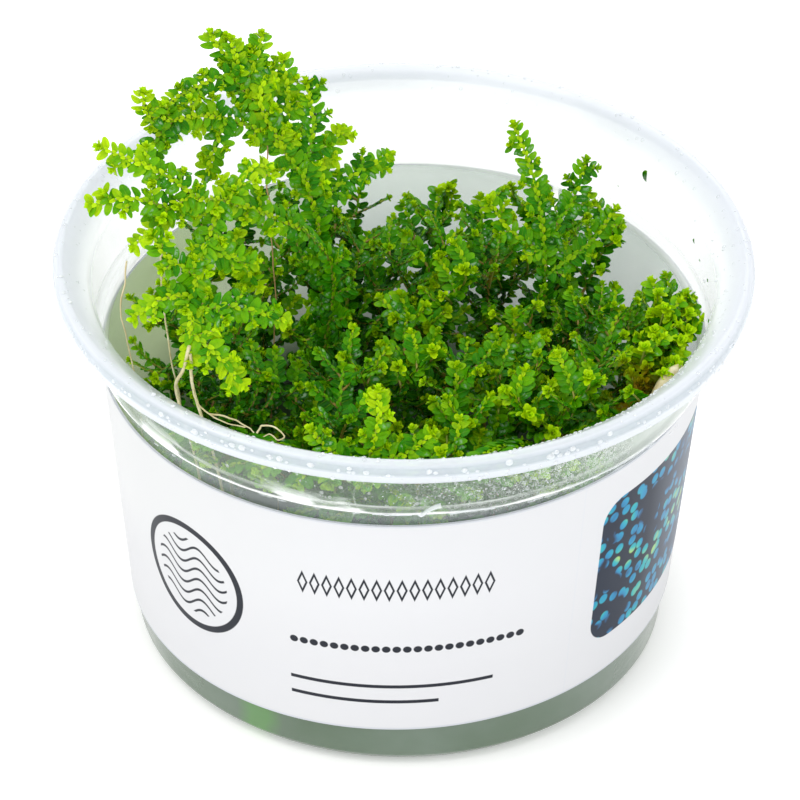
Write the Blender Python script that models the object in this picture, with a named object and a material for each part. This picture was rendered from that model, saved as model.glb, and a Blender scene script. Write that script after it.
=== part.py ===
# Spikemoss (a creeping selaginella) grown in a clear culture cup: cup, wrap label, nutrient gel,
# thirty-odd leafy shoots that stand in plain holes in the gel, and the pale aerial roots.
# Frame: +Z up, the cup stands on Z = 0 with its axis on the Z axis, front of the label at -Y.
import math
import random

import bmesh
import bpy
from mathutils import Vector
from mathutils.bvhtree import BVHTree

MM = 0.001

# ---- driving dimensions, in millimetres ----
cupHeight = 63.5
rimRadius = 50.5          # outer edge of the rolled rim, 101 mm across
wallBaseRadius = 38.95    # outer wall, carried down to Z = 0
wallTaper = 0.09          # growth of the wall's radius for each mm of height
wallThickness = 0.8
floorTop = 2.2            # inside of the cup's floor
footInner = 34.0          # flat ring that the cup stands on
footOuter = 37.2
ledgeHeight = 50.0        # step where the wall widens into the collar
ledgeStep = 1.5
collarTopRadius = 45.5
cupSegments = 32

labelBottom = 8.2
labelTop = 47.4
labelThickness = 0.4
labelTilt = 0.014         # the label was put on by hand: its back edge sits a little higher
labelSeamAngle = 58.0     # degrees from +X, the butt seam at the back
labelSeamGap = 1.0

gelTop = 14.0
fitGap = 0.3              # between faces that rest on each other

stemFoot = 6.5            # height of a stem's lower end, sunk in the gel
rootFoot = gelTop + 0.35  # height of an aerial root's lower end, just on the gel
stemRadius = 0.62
stemTaper = 0.8           # a stem's top radius as a share of its foot's
stemSides = 5
holeRadius = 1.2          # corner radius of the hole round a stem
holeSides = 6
clearance = 0.35          # kept between two shoots

# ---- a leafy blade ----
bladeThickness = 0.62
ribHalf = 0.42            # half-width of the rib
bareShare = 0.08          # the rib's bare foot, as a share of the branch
ribShare = 0.86           # how far the rib runs; the last leaflet covers the rest
leafletSpacing = 3.5
leafletHeel = (0.10, 0.66)     # forward as a share of the spacing, sideways as a share of the reach
leafletTip = (0.96, 1.0)
leafletLift = (0.12, 0.04)     # how far heel and tip stand above the rib, as a share of the reach
lastLeaflet = (0.55, 0.42)     # shoulder of the last leaflet, by spacing and by the branch's half-width

# ---- the bush ----
bushCount = 31
bushRadius = 33.5
goldenAngle = math.radians(137.508)
growthSeed = 11
forkHeight = 46.0         # where a stem ends and its head forks
forkSlope = 0.1           # the bush is lower towards the back
forkSpread = 2.2
stemBend = 1.0
tipShift = 1.6
hollowPlace = (21.0, -3.0)     # a low spot in the bush
hollowDepth = 9.0
hollowWidth = 60.0        # twice the square of the hollow's spread
headRise = math.radians(56)
sideRise = math.radians(30)
branchLength = 13.0
branchWidth = 4.8         # half-width at its widest
branchDroop = 0.16        # fall of the tip as a share of the length
sideShare = 0.86          # where the lower branch leaves the stem
forkHalf = 0.5            # half of the saddle between a head's two branches
bendTries = 14

# ---- colours and finishes ----
finishes = {
    "clearPlastic": ((0.90, 0.94, 0.95, 1.0), 0.12, 0.45),
    "labelFilm": ((0.93, 0.94, 0.96, 1.0), 0.35, 1.0),
    "cultureGel": ((0.42, 0.50, 0.42, 1.0), 0.25, 0.75),
    "leafGreen": ((0.17, 0.42, 0.03, 1.0), 0.38, 1.0),
    "youngLeaf": ((0.30, 0.56, 0.05, 1.0), 0.38, 1.0),
    "rootCream": ((0.72, 0.66, 0.42, 1.0), 0.5, 1.0),
}

# ---- the long fronds: stems, then leafy branches, through points in millimetres ----
# A branch is (points from its root to its tip, half-width at its widest).
tallFrond = {
    "name": "frond_tall_arch",
    "finish": "youngLeaf",
    "stems": [
        [(-9, 3, stemFoot), (-9, 3, 15), (-11, 3.8, 40), (-12.1, 2.4, 60), (-12.3, 1.3, 67)],
    ],
    "branches": [
        ([(-12.3, 1.3, 66.8), (-14.4, 2.6, 74), (-19.3, 4, 80.7), (-22.6, 6, 86), (-25, 8.4, 94.6)], 3.4),
        ([(-19.4, 4, 80.8), (-27, 0, 86.6), (-32.4, -5, 89), (-36.2, -8, 92.2), (-36.6, -8, 96.6)], 3.6),
        ([(-32.6, -5.2, 89), (-35.2, -9.2, 87.6), (-35.2, -10.6, 82.6)], 2.6),
        ([(-14.5, 3, 74.6), (-13.2, 6, 81), (-14.6, 8.6, 88.6)], 3.3),
        ([(-17.4, 3.7, 78.2), (-16.8, 8, 85), (-18.4, 10.6, 92.4)], 3.0),
        ([(-12.6, 1.5, 70), (-8.7, 7, 70.8), (-2.2, 13.2, 71.4)], 2.8),
        ([(-25.6, 0.9, 85.6), (-27, -2.6, 82.8), (-28.2, -4.4, 78.8)], 2.6),
        ([(-13.6, 2.2, 72.6), (-10, 8.6, 77.4), (-7.6, 12, 78.4)], 2.8),
    ],
}
hangingFrond = {
    "name": "frond_left_hanging",
    "finish": "youngLeaf",
    "stems": [
        [(-15, -4, stemFoot), (-15, -4, 15), (-13, -3, 38), (-10.6, -3, 54), (-10.6, -3.6, 64),
         (-14.6, -6, 71.4)],
    ],
    "branches": [
        ([(-14.5, -5.9, 71.2), (-20, -10.4, 77.2), (-27.6, -16.8, 84), (-33.2, -20, 83),
          (-37.6, -21.2, 78.6)], 3.4),
        ([(-28.4, -17.4, 84.4), (-33.9, -18.6, 89.4), (-42.2, -18.8, 93.6)], 3.2),
        ([(-32, -19.4, 84), (-37.3, -21.6, 87), (-43.4, -21.6, 85.8)], 3.0),
        ([(-24.6, -14.4, 81.8), (-21.7, -9.8, 84), (-19.2, -6.8, 82.6)], 2.6),
        ([(-25.4, -15, 82.2), (-28.2, -21.6, 77), (-29.4, -26.6, 70.8), (-29.6, -30.4, 65.4)], 3.2),
        ([(-29.3, -26, 71.4), (-23.4, -26.4, 72.4), (-16.2, -25, 69)], 3.2),
        ([(-29.5, -28, 69.2), (-25.6, -30.6, 66.8), (-22, -31.6, 62.4)], 3.2),
        ([(-29.1, -24.8, 73), (-33.2, -27, 74), (-37.4, -28.4, 71.6)], 3.0),
        ([(-28.7, -23.2, 75.2), (-32.6, -24.2, 79), (-35, -24, 82.6)], 2.8),
        ([(-27.9, -21, 77.6), (-23.4, -19.6, 75.8), (-20.2, -18.4, 70)], 3.0),
    ],
}
rearFrond = {
    "name": "frond_rear_right",
    "finish": "leafGreen",
    "stems": [
        [(20, 11, stemFoot), (20, 11, 15), (20.5, 11.4, 38), (20.8, 12.6, 52.4)],
    ],
    "branches": [
        ([(20.8, 12.6, 52.2), (20, 16, 59.4), (18.4, 19.2, 65.2), (15.8, 22.2, 70.8)], 2.8),
        ([(20.5, 14.2, 56), (24.4, 16.8, 60.8), (26.4, 18.8, 67)], 3.0),
        ([(20.8, 12.2, 51), (26.6, 14.6, 54.6), (31, 16.6, 60)], 3.2),
        ([(20.6, 13.3, 54.2), (15.6, 14.6, 57.2), (12.2, 15.6, 62)], 3.0),
    ],
}
frontFrond = {
    "name": "frond_front_tuft",
    "finish": "youngLeaf",
    "stems": [
        [(-4, -30.5, stemFoot), (-4, -30.5, 15), (-4.4, -33, 38), (-4.6, -35.4, 51.6)],
    ],
    "branches": [
        ([(-4.6, -35.4, 51.4), (-4.2, -37.4, 56.4), (-3.3, -37, 60.6), (-3.3, -35.4, 65)], 3.2),
        ([(-4.6, -35.6, 52), (-9.2, -37.6, 55.2), (-12.6, -37.6, 59.6)], 3.2),
        ([(-4.4, -36, 53.2), (0.6, -38.4, 56.2), (4.4, -38.4, 60)], 3.2),
    ],
}
longFronds = [tallFrond, hangingFrond, rearFrond, frontFrond]

# ---- pale aerial roots: name, radius, and the routes of their strands in millimetres ----
aerialRoots = [
    ("root_twin_front", 0.45, [
        [(-29.9, -31.2, 64.3), (-29.8, -30.9, 60), (-28.7, -28.9, 46), (-27.8, -27.8, 30),
         (-26.4, -26.6, rootFoot)],
        [(-29.9, -31.1, 62.6), (-27.2, -31.6, 58), (-25.2, -31, 44), (-24.4, -30, 30),
         (-23.6, -29.2, rootFoot)],
    ]),
    ("root_long_left", 0.35, [
        [(-38.5, -22.4, 77), (-39.4, -21.6, 69), (-38.4, -19.4, 58), (-37, -17.6, 44),
         (-34.6, -16, rootFoot)],
    ]),
    ("root_mid_left", 0.45, [
        [(-33.1, -20.9, 81.2), (-33.6, -20.6, 74), (-33.2, -18.4, 62), (-31.6, -16.4, 44),
         (-30.4, -15.6, rootFoot)],
    ]),
    ("root_rear_thin", 0.32, [
        [(-19.7, 3.2, 79.4), (-19.4, 1.4, 72), (-18.8, 0.4, 60), (-18.4, 0.2, 40),
         (-18.2, 0.4, rootFoot)],
    ]),
]


def outerWall(z):
    # Outer radius of the tapered wall below the ledge.
    return wallBaseRadius + wallTaper * z


def innerWall(z):
    # Inner radius that the plants have to stay inside, at any height.
    if z < ledgeHeight + 1:
        return outerWall(z) - wallThickness
    if z < cupHeight - 4:
        return outerWall(ledgeHeight) + ledgeStep - wallThickness - 0.3
    return rimRadius - 1.5


def finish(name):
    found = bpy.data.materials.get(name)
    if found:
        return found
    colour, roughness, alpha = finishes[name]
    made = bpy.data.materials.new(name)
    made.use_nodes = True
    shader = made.node_tree.nodes["Principled BSDF"]
    shader.inputs["Base Color"].default_value = colour
    shader.inputs["Roughness"].default_value = roughness
    shader.inputs["Metallic"].default_value = 0.0
    shader.inputs["Alpha"].default_value = alpha
    return made


def addObject(name, mesh, finishName):
    made = bpy.data.objects.new(name, mesh)
    bpy.context.scene.collection.objects.link(made)
    mesh.materials.append(finish(finishName))
    return made


def turnedMesh(name, profile, segments, angle=2 * math.pi, start=0.0):
    # Turns a profile of (radius, height) points about Z. A full turn closes on itself; less gets end caps.
    whole = abs(angle - 2 * math.pi) < 1e-6
    bm = bmesh.new()
    ring = [bm.verts.new((r * math.cos(start) * MM, r * math.sin(start) * MM, z * MM)) for r, z in profile]
    edges = [bm.edges.new(pair) for pair in zip(ring, ring[1:])]
    if profile[0][0] > 0:
        edges.append(bm.edges.new((ring[-1], ring[0])))
    geometry = ring + edges
    if not whole:
        geometry.append(bm.faces.new(ring))
    bmesh.ops.spin(bm, geom=geometry, cent=(0, 0, 0), axis=(0, 0, 1), angle=angle, steps=segments,
                   use_merge=False)
    bmesh.ops.remove_doubles(bm, verts=bm.verts, dist=1e-7)
    bmesh.ops.recalc_face_normals(bm, faces=bm.faces)
    mesh = bpy.data.meshes.new(name)
    bm.to_mesh(mesh)
    bm.free()
    return mesh


def makeCup():
    # One moulded shell: foot ring, tapered wall, ledge, collar, and a rim that curls over into a skirt.
    ledgeOut = outerWall(ledgeHeight) + ledgeStep
    outside = [
        (0, floorTop - wallThickness),
        (footInner - 0.6, floorTop - wallThickness),
        (footInner, 0),
        (footOuter, 0),
        (outerWall(2.0), 2.0),
        (outerWall(ledgeHeight), ledgeHeight - 0.5),
        (ledgeOut, ledgeHeight + 0.5),
        (collarTopRadius, cupHeight - 4.9),
        (46.7, cupHeight - 3.3),
        (48.5, cupHeight - 1.6),
        (49.7, cupHeight - 1.7),
        (49.8, cupHeight - 3.3),
        (rimRadius, cupHeight - 3.3),
        (rimRadius, cupHeight - 0.9),
        (50.0, cupHeight - 0.25),
        (49.2, cupHeight),
        (47.2, cupHeight - 1.5),
        (45.6, cupHeight - 2.9),
    ]
    inside = [
        (collarTopRadius - wallThickness, cupHeight - 4.5),
        (ledgeOut - wallThickness, ledgeHeight + 1.3),
        (outerWall(ledgeHeight) - wallThickness, ledgeHeight + 0.3),
        (outerWall(3.4) - wallThickness, 3.4),
        (outerWall(0) - wallThickness - 1.0, floorTop),
        (0, floorTop),
    ]
    cup = addObject("cup", turnedMesh("cup", outside + inside, cupSegments), "clearPlastic")
    cup.data.shade_smooth()
    cup.data.set_sharp_from_angle(angle=math.radians(35))


def makeLabel():
    # A film band round the wall with a butt seam at the back; its edges follow the wall's taper.
    gap = labelSeamGap / outerWall(labelBottom)
    band = [(1, labelBottom), (2, labelBottom), (2, labelTop), (1, labelTop)]
    mesh = turnedMesh("label", band, cupSegments, 2 * math.pi - gap, math.radians(labelSeamAngle) + gap)
    for vertex in mesh.vertices:
        flat = Vector((vertex.co.x, vertex.co.y))
        outer = flat.length > 1.5 * MM
        flat.normalize()
        z = vertex.co.z / MM + labelTilt * outerWall(labelTop) * (flat.y - 0.6 * flat.x)
        radius = outerWall(z) + fitGap + (labelThickness if outer else 0.0)
        vertex.co = (flat.x * radius * MM, flat.y * radius * MM, z * MM)
    addObject("label", mesh, "labelFilm")


def makeGel(holes):
    # The nutrient gel fills the foot of the cup, with one plain hole for each stem. The cutters
    # stand proud of the gel's top.
    bottom = floorTop + fitGap
    profile = [
        (0, bottom),
        (outerWall(0) - wallThickness - 1.4, bottom),
        (outerWall(3.6) - wallThickness - fitGap, 3.7),
        (outerWall(gelTop) - wallThickness - fitGap, gelTop),
        (0, gelTop),
    ]
    gel = addObject("gel", turnedMesh("gel", profile, cupSegments), "cultureGel")
    cutters = bpy.data.collections.new("gelCutters")
    bpy.context.scene.collection.children.link(cutters)
    holeBottom = stemFoot - fitGap
    depth = gelTop + 2 - holeBottom
    for index, (x, y) in enumerate(holes):
        bm = bmesh.new()
        bmesh.ops.create_cone(bm, cap_ends=True, segments=holeSides, radius1=holeRadius * MM,
                              radius2=holeRadius * MM, depth=depth * MM)
        mesh = bpy.data.meshes.new("hole")
        bm.to_mesh(mesh)
        bm.free()
        cutter = bpy.data.objects.new(f"holeCutter{index}", mesh)
        cutter.location = (x * MM, y * MM, (holeBottom + depth / 2) * MM)
        cutter.hide_render = True
        cutter.display_type = "WIRE"
        cutters.objects.link(cutter)
    joinWith(gel, cutters, "DIFFERENCE", "EXACT")


def joinWith(target, collection, operation, solver):
    # Applies one Boolean with a whole collection, then removes the collection's objects.
    if not collection.objects:
        bpy.data.collections.remove(collection)
        return
    boolean = target.modifiers.new("joined", "BOOLEAN")
    boolean.operation = operation
    boolean.operand_type = "COLLECTION"
    boolean.collection = collection
    boolean.solver = solver
    graph = bpy.context.evaluated_depsgraph_get()
    mesh = bpy.data.meshes.new_from_object(target.evaluated_get(graph))
    target.modifiers.clear()
    mesh.name = target.name
    target.data = mesh
    for piece in list(collection.objects):
        bpy.data.objects.remove(piece)
    bpy.data.collections.remove(collection)


# ---- growth: where every stem and leafy branch lies ----

def smoothRoute(points, steps):
    # A Catmull-Rom curve through the points, as steps + 1 evenly spaced places for each stretch.
    points = [Vector(p) for p in points]
    ends = [2 * points[0] - points[1]] + points + [2 * points[-1] - points[-2]]
    route = []
    for before, a, b, after in zip(ends, ends[1:], ends[2:], ends[3:]):
        for step in range(steps):
            t = step / steps
            route.append(0.5 * (2 * a + (b - before) * t + (2 * before - 5 * a + 4 * b - after) * t ** 2
                                + (3 * a - before - 3 * b + after) * t ** 3))
    route.append(points[-1])
    return route


def along(route, share):
    # The point and the direction at a share of a route's length.
    lengths = [(b - a).length for a, b in zip(route, route[1:])]
    left = share * sum(lengths)
    for index, length in enumerate(lengths):
        if left <= length or index == len(lengths) - 1:
            way = route[index + 1] - route[index]
            return route[index] + way * (left / length), way.normalized()
        left -= length


def nearestPlace(routes, point):
    # The place nearest to a point on any of the routes, so that a branch starts on what carries it.
    point = Vector(point)
    places = []
    for route in routes:
        for a, b in zip(route, route[1:]):
            share = max(0.0, min(1.0, (point - a).dot(b - a) / (b - a).length_squared))
            places.append(a + (b - a) * share)
    return min(places, key=lambda place: (place - point).length)


def routeLength(route):
    return sum((b - a).length for a, b in zip(route, route[1:]))


def branchStations(route, pairs):
    # Stations along a branch: each has its place, its direction, its side and the way its face looks.
    stations = []
    for index in range(-1, pairs + 1):
        share = 0.0 if index < 0 else bareShare + (ribShare - bareShare) * index / pairs
        place, way = along(route, share)
        face = Vector((0, 0, 1)) - way * way.z
        if face.length < 0.3:
            inward = Vector((-place.x, -place.y, 20))
            face = inward - way * way.dot(inward)
        face.normalize()
        stations.append((place, way, way.cross(face), face))
    return stations


def leafyParts(halves, grow=0.0):
    # A thin arched blade, cut to its rib between the leaflets. Two halves that leave the same root
    # are one blade with a tip at each end. The upper and lower faces are split into the same triangles.
    outline, surface, loop, roots = [], [], [], []

    def put(station, forward, side, lift):
        place, way, across, face = station
        outline.append((place + way * forward + across * side + face * lift, face))
        return len(outline) - 1

    for route, width in halves:
        pairs = leafletPairs(route)
        stations = branchStations(route, pairs)
        spacing = routeLength(route) * (ribShare - bareShare) / pairs
        ribs = [(put(s, 0, -ribHalf - grow, 0), put(s, 0, ribHalf + grow, 0)) for s in stations]
        surface += [triangle for (a, b), (c, d) in zip(ribs, ribs[1:]) for triangle in ((a, b, d), (a, d, c))]
        walls = {0: [ribs[0][0]], 1: [ribs[0][1]]}
        for index in range(pairs):
            share = (index + 0.5) / pairs
            reach = leafletReach(width, share) + grow
            for slot, side in ((0, -1), (1, 1)):
                station = stations[index + 1]
                near = put(station, spacing * leafletHeel[0] - grow, side * reach * leafletHeel[1],
                           reach * leafletLift[0])
                far = put(station, spacing * leafletTip[0] + grow, side * reach * leafletTip[1],
                          reach * leafletLift[1])
                start, end = ribs[index + 1][slot], ribs[index + 2][slot]
                if side > 0:
                    surface += [(start, near, far), (start, far, end)]
                else:
                    surface += [(start, end, far), (start, far, near)]
                walls[slot] += [start, near, far]
        last, (leftRib, rightRib) = stations[-1], ribs[-1]
        shoulder = spacing * lastLeaflet[0]
        left = put(last, shoulder, -width * lastLeaflet[1] - grow, 0)
        tip = put(last, routeLength(route) * (1 - ribShare) + grow, 0, 0)
        right = put(last, shoulder, width * lastLeaflet[1] + grow, 0)
        surface += [(leftRib, rightRib, right), (leftRib, right, tip), (leftRib, tip, left)]
        loop += walls[1] + [rightRib, right, tip, left, leftRib] + walls[0][::-1]
        roots.append(ribs[0])
    if len(roots) == 2:
        (leftA, rightA), (leftB, rightB) = roots
        surface += [(leftA, rightB, leftB), (leftA, leftB, rightA)]
    count = len(outline)
    half = bladeThickness / 2 + grow
    points = [p + face * half for p, face in outline] + [p - face * half for p, face in outline]
    faces = surface + [(c + count, b + count, a + count) for a, b, c in surface]
    for a, b in zip(loop, loop[1:] + loop[:1]):
        faces += [(b, a, a + count), (b, a + count, b + count)]
    return points, faces


def leafletPairs(route):
    return max(2, round(routeLength(route) * (ribShare - bareShare) / leafletSpacing))


def leafletReach(width, share):
    # The leaflets are longest below the middle of the branch and short towards its tip.
    return width * (0.58 + 0.42 * math.sin(math.pi * (0.15 + 0.75 * share)))


def tubeParts(route, startRadius, endRadius):
    # A closed tube along a route, in millimetres.
    points, faces = [], []
    sides = stemSides
    count = len(route)
    reference = Vector((0.31, 0.95, 0.0))
    for index, place in enumerate(route):
        way = (route[min(index + 1, count - 1)] - route[max(index - 1, 0)]).normalized()
        across = way.cross(reference).normalized()
        up = across.cross(way)
        reference = up
        radius = startRadius + (endRadius - startRadius) * index / (count - 1)
        for side in range(sides):
            angle = 2 * math.pi * side / sides
            points.append(place + (across * math.cos(angle) + up * math.sin(angle)) * radius)
    for ring in range(count - 1):
        for side in range(sides):
            a, b = ring * sides + side, ring * sides + (side + 1) % sides
            faces += [(b, a, a + sides), (b, a + sides, b + sides)]
    for side in range(1, sides - 1):
        faces.append((0, side, side + 1))
        top = (count - 1) * sides
        faces.append((top, top + side + 1, top + side))
    return points, faces


def boxOf(points):
    axes = range(3)
    return [min(p[axis] for p in points) for axis in axes], [max(p[axis] for p in points) for axis in axes]


def apart(a, b):
    return any(a[1][axis] < b[0][axis] or b[1][axis] < a[0][axis] for axis in range(3))


def insideCup(points):
    # True where every point is clear of the wall and of the gel's top.
    return all(p.z > gelTop + 0.8 and Vector((p.x, p.y)).length < innerWall(p.z) - 0.6 for p in points)


class Garden:
    # Keeps what has grown so far, so that each new leafy branch is bent clear of the other shoots.

    def __init__(self):
        self.grown = []

    def add(self, owner, points, faces):
        self.grown.append((owner, boxOf(points), BVHTree.FromPolygons(points, faces)))

    def free(self, owner, points, faces):
        if not insideCup(points):
            return False
        box = boxOf(points)
        near = [tree for other, otherBox, tree in self.grown if other != owner and not apart(box, otherBox)]
        if not near:
            return True
        tree = BVHTree.FromPolygons(points, faces)
        return not any(tree.overlap(other) for other in near)


def bushShoots(chance):
    # Upright shoots in a sunflower spiral over the gel, higher at the front, with one low hollow.
    taken = [(frond["stems"][0][0], 3.6) for frond in longFronds]
    taken += [(strand[-1], 2.2) for _, _, strands in aerialRoots for strand in strands]
    shoots = []
    index = 0
    while len(shoots) < bushCount:
        radius = bushRadius * math.sqrt((index + 0.5) / (bushCount + 2.5))
        angle = index * goldenAngle + 0.4
        index += 1
        x, y = radius * math.cos(angle), radius * math.sin(angle)
        if any(math.hypot(x - foot[0], y - foot[1]) < room for foot, room in taken):
            continue
        lean = chance.uniform(1.08, 1.14)
        topX = x * lean + chance.uniform(-tipShift, tipShift)
        topY = y * lean + chance.uniform(-tipShift, tipShift)
        away = (topX - hollowPlace[0]) ** 2 + (topY - hollowPlace[1]) ** 2
        fork = forkHeight - forkSlope * topY + chance.uniform(-forkSpread, forkSpread)
        fork -= hollowDepth * math.exp(-away / hollowWidth)
        middleX = (x + topX) / 2 + chance.uniform(-stemBend, stemBend)
        middleY = (y + topY) / 2 + chance.uniform(-stemBend, stemBend)
        middle = (middleX, middleY, (gelTop + fork) / 2)
        bent = smoothRoute([(x, y, gelTop + 1), middle, (topX, topY, fork)], 2)
        shoots.append({
            "name": f"shoot_{len(shoots) + 1:02d}",
            "finish": "leafGreen",
            "stems": [[Vector((x, y, stemFoot))] + bent],
            "blades": [],
            "turn": chance.uniform(0, math.pi),
        })
    return shoots


def bentBranch(root, azimuth, rise, length):
    # A branch that leaves at its rise and arches over towards its tip.
    start = Vector((math.cos(azimuth) * math.cos(rise), math.sin(azimuth) * math.cos(rise), math.sin(rise)))
    droop = Vector((0, 0, -branchDroop * length))
    return smoothRoute([root, root + start * length * 0.55, root + start * length + droop], 3)


def clearBranch(garden, owner, root, azimuth, rise, chance):
    # Tries a branch, then bends and shortens it more each time until it is clear of the other shoots.
    for attempt in range(bendTries):
        turned = azimuth + chance.uniform(-0.35, 0.35) * (1 + attempt * 0.18)
        raised = rise + chance.uniform(-0.22, 0.22) * (1 + attempt * 0.1)
        length = branchLength * (1 - 0.03 * attempt) * chance.uniform(0.92, 1.08)
        route = bentBranch(root, turned, raised, length)
        if garden.free(owner, *leafyParts([(route, branchWidth)], clearance)):
            garden.add(owner, *leafyParts([(route, branchWidth)]))
            return route, branchWidth
    return None


def growHead(garden, shoot, chance):
    # Two branches fork at the top of the stem, as one blade with a tip at each end.
    top = shoot["stems"][0][-1]
    halves = []
    for side in (0, 1):
        azimuth = shoot["turn"] + math.pi * side
        root = top + Vector((math.cos(azimuth), math.sin(azimuth), 0)) * forkHalf
        half = clearBranch(garden, shoot["name"], root, azimuth, headRise, chance)
        if half:
            halves.append(half)
    if len(halves) == 1:
        halves[0][0][0] = top
    if halves:
        shoot["blades"].append(halves)


def growSide(garden, shoot, chance):
    # A lower branch between the two of the head, on whichever side is free.
    root = along(shoot["stems"][0], sideShare)[0]
    for side in (1, 0):
        azimuth = shoot["turn"] + math.pi * (side + 0.5)
        half = clearBranch(garden, shoot["name"], root, azimuth, sideRise, chance)
        if half:
            shoot["blades"].append([half])
            return


def growFrond(garden, frond):
    # A long frond follows its own points; each branch starts on what carries it.
    stems = [smoothRoute(points, 2) for points in frond["stems"]]
    carriers = list(stems)
    blades = []
    for points, width in frond["branches"]:
        route = smoothRoute([nearestPlace(carriers, points[0])] + points[1:], 3)
        carriers.append(route)
        blades.append([(route, width)])
    for stem in stems:
        addThickened(garden, frond["name"], stem, stemRadius)
    for blade in blades:
        garden.add(frond["name"], *leafyParts(blade, clearance))
    return {"name": frond["name"], "finish": frond["finish"], "stems": stems, "blades": blades}


def addThickened(garden, owner, route, radius):
    garden.add(owner, *tubeParts(route, radius + clearance, radius + clearance))


def growEverything():
    # Every shoot, as its stem routes and its leafy blades, all clear of one another.
    chance = random.Random(growthSeed)
    garden = Garden()
    fronds = [growFrond(garden, frond) for frond in longFronds]
    for name, radius, strands in aerialRoots:
        for strand in strands:
            addThickened(garden, name, smoothRoute(strand, 2), radius)
    bush = bushShoots(chance)
    for shoot in bush:
        addThickened(garden, shoot["name"], shoot["stems"][0], stemRadius)
    for shoot in bush:
        growHead(garden, shoot, chance)
    for shoot in bush:
        growSide(garden, shoot, chance)
    return fronds + bush


# ---- building ----

def solidMesh(name, parts):
    points, faces = parts
    mesh = bpy.data.meshes.new(name)
    mesh.from_pydata([p * MM for p in points], [], faces)
    return mesh


def makeGrown(name, finishName, parts):
    # Unites the first closed piece with all that grows from it into one body.
    collection = bpy.data.collections.new("growing")
    bpy.context.scene.collection.children.link(collection)
    grown = addObject(name, solidMesh(name, parts[0]), finishName)
    for more in parts[1:]:
        collection.objects.link(bpy.data.objects.new("piece", solidMesh("piece", more)))
    joinWith(grown, collection, "UNION", "MANIFOLD")


def makeShoot(shoot):
    stems = [tubeParts(stem, stemRadius, stemRadius * stemTaper) for stem in shoot["stems"]]
    blades = [leafyParts(blade) for blade in shoot["blades"]]
    makeGrown(shoot["name"], shoot["finish"], stems + blades)


def makeRoot(name, radius, strands):
    makeGrown(name, "rootCream", [tubeParts(smoothRoute(strand, 2), radius, radius) for strand in strands])


def main():
    for old in list(bpy.data.objects):
        bpy.data.objects.remove(old)
    shoots = growEverything()
    makeCup()
    makeLabel()
    makeGel([(shoot["stems"][0][0].x, shoot["stems"][0][0].y) for shoot in shoots])
    for shoot in shoots:
        makeShoot(shoot)
    for name, radius, strands in aerialRoots:
        makeRoot(name, radius, strands)


main()
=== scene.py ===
# Looks of the potted spikemoss: the clear cup with its wrap label and gel, every shoot leaf by leaf,
# the pale roots, the water beads, and the plain white studio. Shapes are worked out in millimetres.
import math
import random

import bpy
import numpy as np
from mathutils import Matrix, Vector, noise
from mathutils.bvhtree import BVHTree


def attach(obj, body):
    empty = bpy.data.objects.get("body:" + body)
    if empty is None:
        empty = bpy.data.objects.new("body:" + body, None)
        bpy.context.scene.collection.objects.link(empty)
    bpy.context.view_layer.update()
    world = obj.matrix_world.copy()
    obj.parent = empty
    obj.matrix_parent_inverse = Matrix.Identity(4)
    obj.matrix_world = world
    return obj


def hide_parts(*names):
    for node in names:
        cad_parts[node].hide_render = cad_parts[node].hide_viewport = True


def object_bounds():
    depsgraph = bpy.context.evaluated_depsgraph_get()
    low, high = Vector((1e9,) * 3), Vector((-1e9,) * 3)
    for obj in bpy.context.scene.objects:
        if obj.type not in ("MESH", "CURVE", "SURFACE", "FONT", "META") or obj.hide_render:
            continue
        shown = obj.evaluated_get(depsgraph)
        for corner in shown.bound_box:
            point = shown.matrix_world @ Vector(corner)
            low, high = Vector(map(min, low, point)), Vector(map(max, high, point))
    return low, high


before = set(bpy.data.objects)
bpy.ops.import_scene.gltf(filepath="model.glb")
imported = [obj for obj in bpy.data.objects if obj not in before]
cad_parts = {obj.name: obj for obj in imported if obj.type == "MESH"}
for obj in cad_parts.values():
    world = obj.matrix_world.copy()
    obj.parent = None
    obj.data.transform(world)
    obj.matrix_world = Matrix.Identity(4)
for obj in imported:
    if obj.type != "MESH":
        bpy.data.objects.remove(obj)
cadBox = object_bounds()
print("frame loaded:", len(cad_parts), "nodes")

mm = 0.001
upward = Vector((0, 0, 1))

cupSizes = {
    "height": 63.5,
    "rim": 50.5,              # radius of the rolled rim's outer edge, 101 mm across
    "base": 38.95,            # outer wall, carried down to Z = 0
    "taper": 0.09,            # growth of the wall's radius for each mm of height
    "wall": 0.8,              # thickness of the plastic
    "floor": 2.2,             # inside of the cup's floor
    "foot": (34.0, 37.2),     # flat ring that the cup stands on
    "ledge": 50.0,            # height of the step where the wall widens into the collar
    "step": 1.5,
    "collar": 45.5,           # radius at the collar's top
}
gelTop = 14.0
stemFoot = 6.5                # height of a stem's lower end, sunk in the gel
rootFoot = gelTop + 0.35      # height of an aerial root's lower end, just on the gel

# The room that a stem and a leafy blade take, as the shoots keep clear of one another by it.
bladeSizes = {
    "stem": 0.62,             # a stem's radius
    "sides": 5,
    "clearance": 0.35,        # kept between two shoots
    "thickness": 0.62,
    "ribHalf": 0.42,          # half-width of the rib
    "bare": 0.08,             # the rib's bare foot, as a share of the branch
    "rib": 0.86,              # how far the rib runs; the last leaflet covers the rest
    "spacing": 3.5,           # between leaflets
    "heel": (0.10, 0.66),     # forward as a share of the spacing, sideways as a share of the reach
    "tip": (0.96, 1.0),
    "lift": (0.12, 0.04),     # how far heel and tip stand above the rib, as a share of the reach
    "last": (0.55, 0.42),     # shoulder of the last leaflet, by spacing and by the branch's half-width
}

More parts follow.
